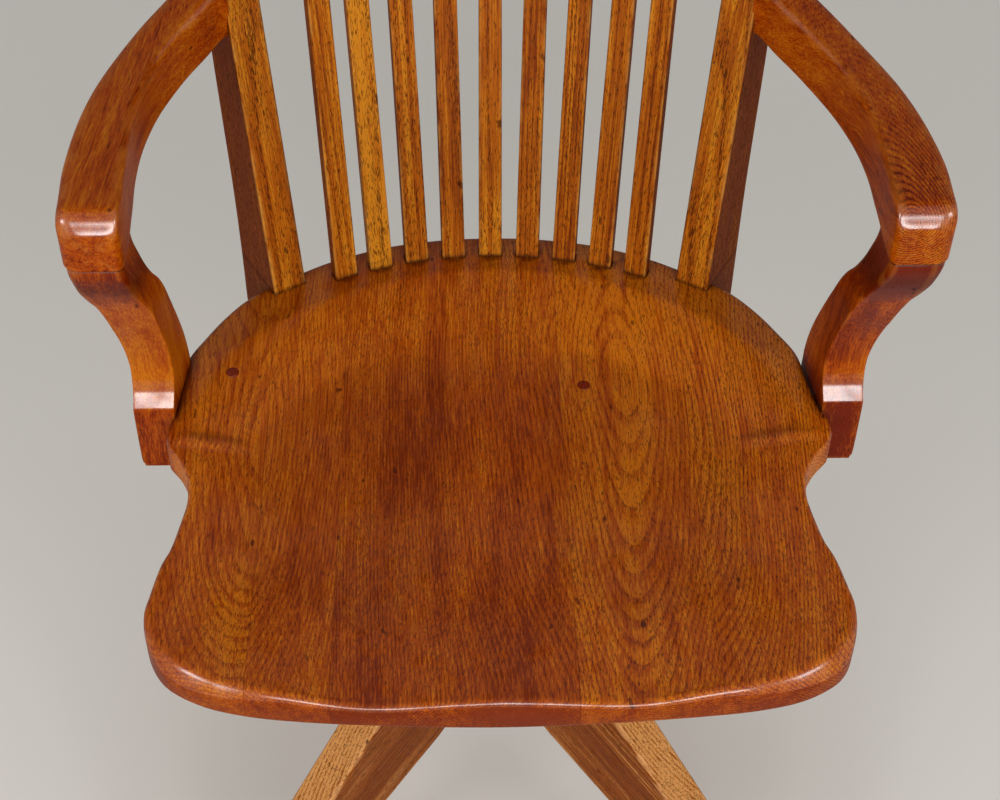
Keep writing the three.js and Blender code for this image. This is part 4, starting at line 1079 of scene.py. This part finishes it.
for i, leg in enumerate(legs):
    turn = leg_turn(i)
    grain = (math.cos(turn), math.sin(turn), -0.45)
    # paler on the faces that look up: dust and wear on the tops, and painted light from above
    tone = 0.5 * smooth(0.3, 0.8, normals_of(leg)[:, 2]) - 0.1
    lay_in_plank(leg, grain, (-math.sin(turn) * 0.05, math.cos(turn) * 0.05, 0.06), tone)
for plug in plugs.values():
    lay_in_plank(plug, (0.3, 1, 0.1), (0, 0.01, -0.03))
print("laid in planks:", len([mesh for mesh in bpy.data.meshes if "plank" in mesh.attributes]))

# %% [markdown]
# ## Shader maths in Python
# A material is a tree of nodes, and made by hand each sum in it takes four lines. A Signal stands for a
# socket that carries a number, so a finish reads as plain sums. The Shader makes every other node through
# one method.

# %% Signals
class Signal:
    def __init__(self, shader, socket):
        self.shader = shader
        self.socket = socket

    def maths(self, operation, *values):
        return self.shader.node("ShaderNodeMath", {"operation": operation}, dict(enumerate(values)))

    def __add__(self, other):
        return self.maths("ADD", self, other)

    def __sub__(self, other):
        return self.maths("SUBTRACT", self, other)

    def __mul__(self, other):
        return self.maths("MULTIPLY", self, other)

    def __truediv__(self, other):
        return self.maths("DIVIDE", self, other)

    def __pow__(self, other):
        return self.maths("POWER", self, other)

    def __rsub__(self, other):
        return self.maths("SUBTRACT", other, self)

    def __rtruediv__(self, other):
        return self.maths("DIVIDE", other, self)

    __radd__ = __add__
    __rmul__ = __mul__

    def fraction(self):
        return self.maths("FRACT", self)

    def step(self, low, high):
        """0 below low, 1 above high, and smooth between them. low may be above high."""
        inputs = {"Value": self, "From Min": low, "From Max": high}
        return self.shader.node("ShaderNodeMapRange", {"interpolation_type": "SMOOTHSTEP"}, inputs)


# %% Shaders
class Shader:
    def __init__(self, name, **constants):
        self.material = bpy.data.materials.new(name)
        self.material.use_nodes = True
        self.tree = self.material.node_tree
        self.surface = self.tree.nodes["Principled BSDF"]
        for socket, value in constants.items():
            self.surface.inputs[socket.replace("_", " ")].default_value = value

    def node(self, kind, settings=None, inputs=None, output=0):
        """Any node: its type, its settings, its sockets' values or links, and the output to carry on with."""
        made = self.tree.nodes.new(kind)
        for key, value in (settings or {}).items():
            setattr(made, key, value)
        for key, value in (inputs or {}).items():
            self.feed(made.inputs[key], value)
        return Signal(self, made.outputs[output])

    def feed(self, socket, value):
        if isinstance(value, Signal):
            self.tree.links.new(value.socket, socket)
        else:
            socket.default_value = value

    def attribute(self, name, output="Fac"):
        return self.node("ShaderNodeAttribute", {"attribute_name": name}, output=output)

    def place(self):
        """The place in the piece itself, for finishes without a grain of their own."""
        return self.node("ShaderNodeTexCoord", output="Object")

    def scaled(self, vector, *scales):
        return self.node("ShaderNodeVectorMath", {"operation": "MULTIPLY"}, {0: vector, 1: scales})

    def noise(self, vector, scale=1, detail=2, roughness=0.5):
        inputs = {"Vector": vector, "Scale": scale, "Detail": detail, "Roughness": roughness}
        return self.node("ShaderNodeTexNoise", None, inputs)

    def blend(self, share, first, second):
        """Between two colours. A Mix node keeps its colour sockets at inputs 6 and 7 and at output 2."""
        return self.node("ShaderNodeMix", {"data_type": "RGBA"}, {0: share, 6: first, 7: second}, output=2)

    def bump(self, height, distance, strength):
        inputs = {"Height": height, "Distance": distance, "Strength": strength}
        return self.node("ShaderNodeBump", None, inputs)

    def wear(self, **signals):
        for socket, signal in signals.items():
            self.feed(self.surface.inputs[socket.replace("_", " ")], signal)
        return self.material


def colour(red, green, blue):
    """A colour given as it is seen on a screen, 0 to 255."""
    return tuple((value / 255) ** 2.2 for value in (red, green, blue)) + (1,)


def darker(shade, share):
    return tuple(value * share for value in shade[:3]) + (1,)


# %% [markdown]
# ## The oak's finish
# Old waxed oak is brown with pale late wood, dark open pores in the early wood of each ring, and dirt in
# its corners, where shade is also painted. A ring is the fraction of the distance from the pith, and noises
# stretched along the grain make fibres, strands and pores. An image would repeat, and would be stretched
# over the curves. This wood runs through each piece, so its figure carries on round every edge. Its four
# colours go from deep to worn.

# %% Oak
DENT_DEEP = 0.0004  # how far the bump reaches from a pore to the surface


def oak(name, deep, body, light, worn, rings, roughness, coat, pores=0.6, ring_gap=0.0030, rub=0.45):
    shader = Shader(name, Coat_Roughness=coat[1], Coat_IOR=coat[2], IOR=1.5, Specular_IOR_Level=0.05)
    plank = shader.attribute("plank", "Vector")
    figure = shader.attribute("figure")
    # numbers that run with the wood: the ring, and noises that are long along the grain
    across = shader.node("ShaderNodeSeparateXYZ", None, {"Vector": plank}, "Y")
    beside = shader.node("ShaderNodeSeparateXYZ", None, {"Vector": plank}, "Z")
    warp = shader.noise(shader.scaled(plank, 3, 12, 12), detail=2) - 0.5
    radius = (across * across + beside * beside) ** 0.5 + warp * 0.005
    ring = (radius / ring_gap).fraction()
    late = ring.step(0.22, 0.55) * ring.step(1.0, 0.95)
    fibre = shader.noise(shader.scaled(plank, 24, 850, 850), detail=3, roughness=0.65)
    strand = shader.noise(shader.scaled(plank, 5, 210, 210), detail=3, roughness=0.6)
    cloud = shader.noise(shader.scaled(plank, 5, 18, 18), detail=2)
    band = shader.noise(shader.scaled(plank, 2, 70, 70), detail=2)
    speck = shader.noise(shader.scaled(plank, 210, 1450, 1450), detail=1)
    early = ring.step(0.35, 0.0) * figure
    pore = (speck + early * 0.10 + (strand - 0.5) * 0.25 + (cloud - 0.5) * 0.25).step(0.56, 0.67)
    pore = pore * (0.4 + figure * 0.6)
    # the tone, which carries painted light and shade too, picks the colour, and pores, worn edges, dents, and
    # dirt with painted shade go over it
    tone = 0.5 + (late - 0.58) * figure * rings + (fibre - 0.5) * 1.5 + (strand - 0.5) * 0.9
    tone = tone + (cloud - 0.5) * 0.9 + (band - 0.5) * 0.7 + shader.attribute("tone")
    shade = shader.blend(tone.step(0.05, 0.55), deep, body)
    shade = shader.blend(tone.step(0.45, 1.0), shade, light)
    shade = shader.blend(pore * pores, shade, darker(deep, 0.2))
    patchy = shader.noise(shader.scaled(plank, 45, 160, 160), detail=3)
    rubbed = shader.attribute("wear") * patchy.step(0.38, 0.62)
    shade = shader.blend(rubbed * rub, shade, worn)
    ding = shader.noise(shader.scaled(plank, 60, 130, 130), detail=1).step(0.74, 0.79)
    # dirt and painted shade darken the wood
    dust_and_shade = shader.attribute("dirt_and_shade") * (0.6 + patchy * 0.6)
    dust_and_shade = dust_and_shade.maths("MINIMUM", dust_and_shade + ding * 0.7, 0.9)
    shade = shader.blend(dust_and_shade, shade, darker(deep, 0.26))
    # the surface: dull in pores and in dirt and painted shade, shining where it is handled
    dull = roughness + (fibre - 0.5) * 0.25 + pore * 0.25 + dust_and_shade * 0.2
    height = fibre * 0.35 + strand * 0.25 - pore * 0.7
    handled = shader.noise(shader.scaled(plank, 60, 60, 60), detail=1)
    polish = shader.attribute("gloss") * handled.step(0.0, 0.62) * coat[0]
    grain = shader.bump(height, DENT_DEEP, 0.3)
    return shader.wear(Base_Color=shade, Roughness=dull, Coat_Weight=polish, Normal=grain)


# coat is the wax: how much of it, how rough, and its refractive index
seat_oak = oak(
    "carved oak", colour(116, 42, 3), colour(162, 72, 7), colour(200, 110, 20), colour(198, 118, 50),
    rings=0.18, roughness=0.4, coat=(0.9, 0.19, 1.7), ring_gap=0.0022, rub=0.1)
slat_oak = oak(
    "slat oak", colour(116, 50, 3), colour(160, 82, 8), colour(196, 122, 28), colour(206, 144, 66),
    rings=0.2, pores=0.75, roughness=0.5, coat=(0.08, 0.3, 1.5))
arm_oak = oak(
    "arm oak", colour(104, 32, 3), colour(156, 66, 5), colour(186, 102, 18), colour(192, 114, 44),
    rings=0.35, pores=0.75, roughness=0.36, coat=(1.0, 0.19, 1.8), ring_gap=0.0020, rub=0.3)
leg_oak = oak(
    "leg oak", colour(104, 48, 10), colour(140, 72, 16), colour(206, 142, 80), colour(216, 160, 104),
    rings=0.25, roughness=0.5, coat=(0.1, 0.3, 1.5))
plug_wood = oak(
    "plug wood", colour(76, 16, 4), colour(112, 34, 10), colour(136, 52, 18), colour(140, 60, 30),
    rings=0.2, pores=0.3, roughness=0.4, coat=(0.3, 0.2, 1.5))
for wood in (seat_oak, slat_oak, arm_oak, leg_oak, plug_wood):
    print(wood.name, len(wood.node_tree.nodes), "nodes")

# %% [markdown]
# ## Metal and wheels
# The iron is black japanning worn through on its edges, with a little rust. The pins and the screw are
# oiled steel. The caster wheels are dark turned hardwood. A plain noise in each piece makes their stains,
# and the worn edges come from the number that the eased edges carry.

# %% Iron
def iron(name):
    shader = Shader(name, Metallic=0.35)
    place = shader.place()
    grit = shader.noise(place, 900, 3, 0.6)
    patch = shader.noise(place, 45, 4, 0.6)
    rust = patch.step(0.56, 0.72)
    shade = shader.blend(patch.step(0.3, 0.7), colour(34, 31, 29), colour(52, 47, 43))
    shade = shader.blend(rust * 0.7, shade, colour(88, 52, 30))
    rubbed = shader.attribute("wear") * shader.noise(place, 260, 2).step(0.35, 0.6)
    shade = shader.blend(rubbed * 0.7, shade, colour(128, 118, 106))
    dull = 0.45 + (grit - 0.5) * 0.3 + rust * 0.3 - rubbed * 0.15
    return shader.wear(Base_Color=shade, Roughness=dull, Normal=shader.bump(grit + patch * 2, 0.0003, 0.4))


# %% Steel
def steel(name):
    shader = Shader(name, Metallic=1.0)
    place = shader.place()
    grit = shader.noise(place, 1200, 2, 0.6)
    stain = shader.noise(place, 70, 4, 0.6)
    shade = shader.blend(stain.step(0.4, 0.7), colour(168, 162, 152), colour(112, 98, 82))
    dull = 0.32 + (grit - 0.5) * 0.2 + stain.step(0.45, 0.7) * 0.25
    return shader.wear(Base_Color=shade, Roughness=dull, Normal=shader.bump(grit, 0.0001, 0.3))


# %% Wheel wood
def wheel_wood(name):
    shader = Shader(name, Coat_Weight=0.3, Coat_Roughness=0.3)
    place = shader.place()
    streak = shader.noise(shader.scaled(place, 60, 60, 700), detail=3, roughness=0.6)
    patch = shader.noise(place, 60, 3)
    shade = shader.blend(streak.step(0.35, 0.65), colour(44, 26, 16), colour(78, 48, 30))
    rubbed = shader.attribute("wear") * patch.step(0.4, 0.6)
    shade = shader.blend(rubbed * 0.6, shade, colour(120, 88, 62))
    grain = shader.bump(streak, 0.0003, 0.4)
    return shader.wear(Base_Color=shade, Roughness=0.42 + patch * 0.2, Normal=grain)


black_iron = iron("black iron")
bright_steel = steel("oiled steel")
dark_wheel = wheel_wood("wheel wood")
for finish in (black_iron, bright_steel, dark_wheel):
    print(finish.name, len(finish.node_tree.nodes), "nodes")

# %% [markdown]
# ## Putting it together
# Each piece rides on its body, stands for its CAD node and takes the finish named for it here. The
# bodies carry the joints, so the dressed chair swivels, rises, tips and rolls just as the imported one does.

# %% Fit the wooden pieces, the spindle and the spring to the frame
finishes = {
    "seat_oak": seat_oak, "slat_oak": slat_oak, "arm_oak": arm_oak, "leg_oak": leg_oak,
    "plug_wood": plug_wood, "black_iron": black_iron, "bright_steel": bright_steel, "wheel_wood": dark_wheel,
}
bodies = frame["record"]["behaviour"]["bodies"]
body_with = {node: body for body, nodes in bodies.items() for node in nodes}
fitted = []


def fit_piece(piece, node, finish):
    piece.data.materials.clear()
    piece.data.materials.append(finishes[finish])
    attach(piece, body_with[node])
    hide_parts(node)
    fitted.append(node)


for i, board in enumerate(boards):
    fit_piece(board, f"seat_board_{i + 1}", "seat_oak")
for i, slat in enumerate(slats):
    fit_piece(slat, f"slat_{i + 1}", "slat_oak")
for side_name in SIDES:
    fit_piece(posts[side_name], f"post_{side_name}", "slat_oak")
    fit_piece(arms[side_name], f"arm_{side_name}", "arm_oak")
    fit_piece(stumps[side_name], f"stump_{side_name}", "arm_oak")
    fit_piece(plugs[side_name], f"seat_plug_{side_name}", "plug_wood")
fit_piece(crest_rail, "crest_rail", "slat_oak")
for i, leg in enumerate(legs):
    fit_piece(leg, f"leg_{i + 1}", "leg_oak")
fit_piece(spindle, "spindle", "bright_steel")
fit_piece(spring, "tension_spring", "black_iron")
hub = eased("hub_column", 0.0015)
lay_in_plank(hub, (0, 0, 1), (0.03, 0.09, 0))
fit_piece(hub, "hub_column", "leg_oak")
print("wooden pieces, spindle and spring:", len(fitted))

# %% Fit the iron, the steel and the wheels
casters = range(1, 5)
iron_nodes = ["hub_bush", "height_nut", "seat_iron", "yoke", "spring_cup", "tension_knob"]
iron_nodes += [f"caster_{part}_{i}" for part in ("socket", "fork") for i in casters]
steel_nodes = ["tilt_pin", "tension_bolt", "stump_screw_left", "stump_screw_right"]
steel_nodes += [f"seat_screw_{i}" for i in range(1, 5)] + [f"caster_axle_{i}" for i in casters]
for node in iron_nodes:
    fit_piece(eased(node), node, "black_iron")
for node in steel_nodes:
    fit_piece(eased(node, 0.0004), node, "bright_steel")
for i in casters:
    fit_piece(eased(f"caster_wheel_{i}", 0.0012), f"caster_wheel_{i}", "wheel_wood")
print("all pieces:", len(fitted), "of", len(frame["nodes"]), "nodes")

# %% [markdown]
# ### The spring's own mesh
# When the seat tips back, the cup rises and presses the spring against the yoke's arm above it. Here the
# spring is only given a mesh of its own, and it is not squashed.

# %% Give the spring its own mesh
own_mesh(spring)

# %% [markdown]
# ## Stage and light
# The photograph's light is soft, as in a room with windows. An even pale sky fills all sides. One wide
# window in front draws the bright line along the rounded edges, and one at each side lights the corners.

# %% Floor and lights
def plain(name, shade, roughness=0.8):
    shader = Shader(name, Roughness=roughness)
    shader.surface.inputs["Base Color"].default_value = shade
    return shader.material


floor_half = 60
floor_corners = box_sections(-floor_half, floor_half, -floor_half, floor_half, 0, 0)[0]
floor_mesh = bpy.data.meshes.new("floor")
floor_mesh.from_pydata(floor_corners, [], [(0, 1, 2, 3)])
floor = bpy.data.objects.new("floor", floor_mesh)
floor.data.materials.append(plain("pale floor", colour(232, 229, 222)))
bpy.context.scene.collection.objects.link(floor)

world = bpy.data.worlds.new("studio")
world.use_nodes = True
sky = world.node_tree.nodes["Background"]
sky.inputs["Color"].default_value = (1, 0.99, 0.97, 1)
sky.inputs["Strength"].default_value = 0.40
bpy.context.scene.world = world
chair_middle = Vector((0, 0, 0.55))


def softbox(name, place, wide, high, power):
    """A window of light that faces the chair's middle. power is in watts."""
    light = bpy.data.lights.new(name, "AREA")
    light.shape = "RECTANGLE"
    light.size = wide
    light.size_y = high
    light.energy = power
    lamp = bpy.data.objects.new(name, light)
    lamp.location = place
    lamp.rotation_euler = (chair_middle - Vector(place)).to_track_quat("-Z", "Y").to_euler()
    bpy.context.scene.collection.objects.link(lamp)
    print(name, "at", place, "with", power, "W")


softbox("window in front", (0.1, -3.1, 1.76), wide=2.6, high=0.7, power=56)
softbox("window at left", (-2.5, -2.3, 1.9), wide=1.1, high=0.8, power=27)
softbox("window at right", (2.5, -2.3, 1.9), wide=1.1, high=0.8, power=24)

# %% [markdown]
# ## Camera
# The camera stands where the photograph was taken from: high in front of the chair, looking down at 46
# degrees, turned 2 degrees and rolled by less than one. These angles and the lens were found by fitting
# the outlines of the seat, slats, arms and legs to the photograph, all with one camera.

# %% Camera
camera_data = bpy.data.cameras.new("camera")
camera_data.sensor_width = 36
camera_data.lens = 67.8
camera = bpy.data.objects.new("camera", camera_data)
bpy.context.scene.collection.objects.link(camera)
bpy.context.scene.camera = camera
camera_place = Vector((-0.0313, -1.03304, 1.5083))
pitch, yaw, roll = math.radians(46), math.radians(-2.0), math.radians(0.85)
aim = Vector((0, math.cos(pitch), -math.sin(pitch)))
right = Vector((1, 0, 0))
upward = right.cross(aim)
rolled_right = right * math.cos(roll) + upward * math.sin(roll)
rolled_up = upward * math.cos(roll) - right * math.sin(roll)
turned = Matrix.Rotation(yaw, 3, "Z")
axes = [turned @ rolled_right, turned @ rolled_up, -(turned @ aim)]
placed = Matrix([list(row) for row in zip(*axes)]).to_4x4()
placed.translation = camera_place
camera.matrix_world = placed
bpy.context.scene.view_settings.view_transform = "Standard"
print("camera at", [round(value, 3) for value in camera_place], "with", round(camera_data.lens, 1), "mm")
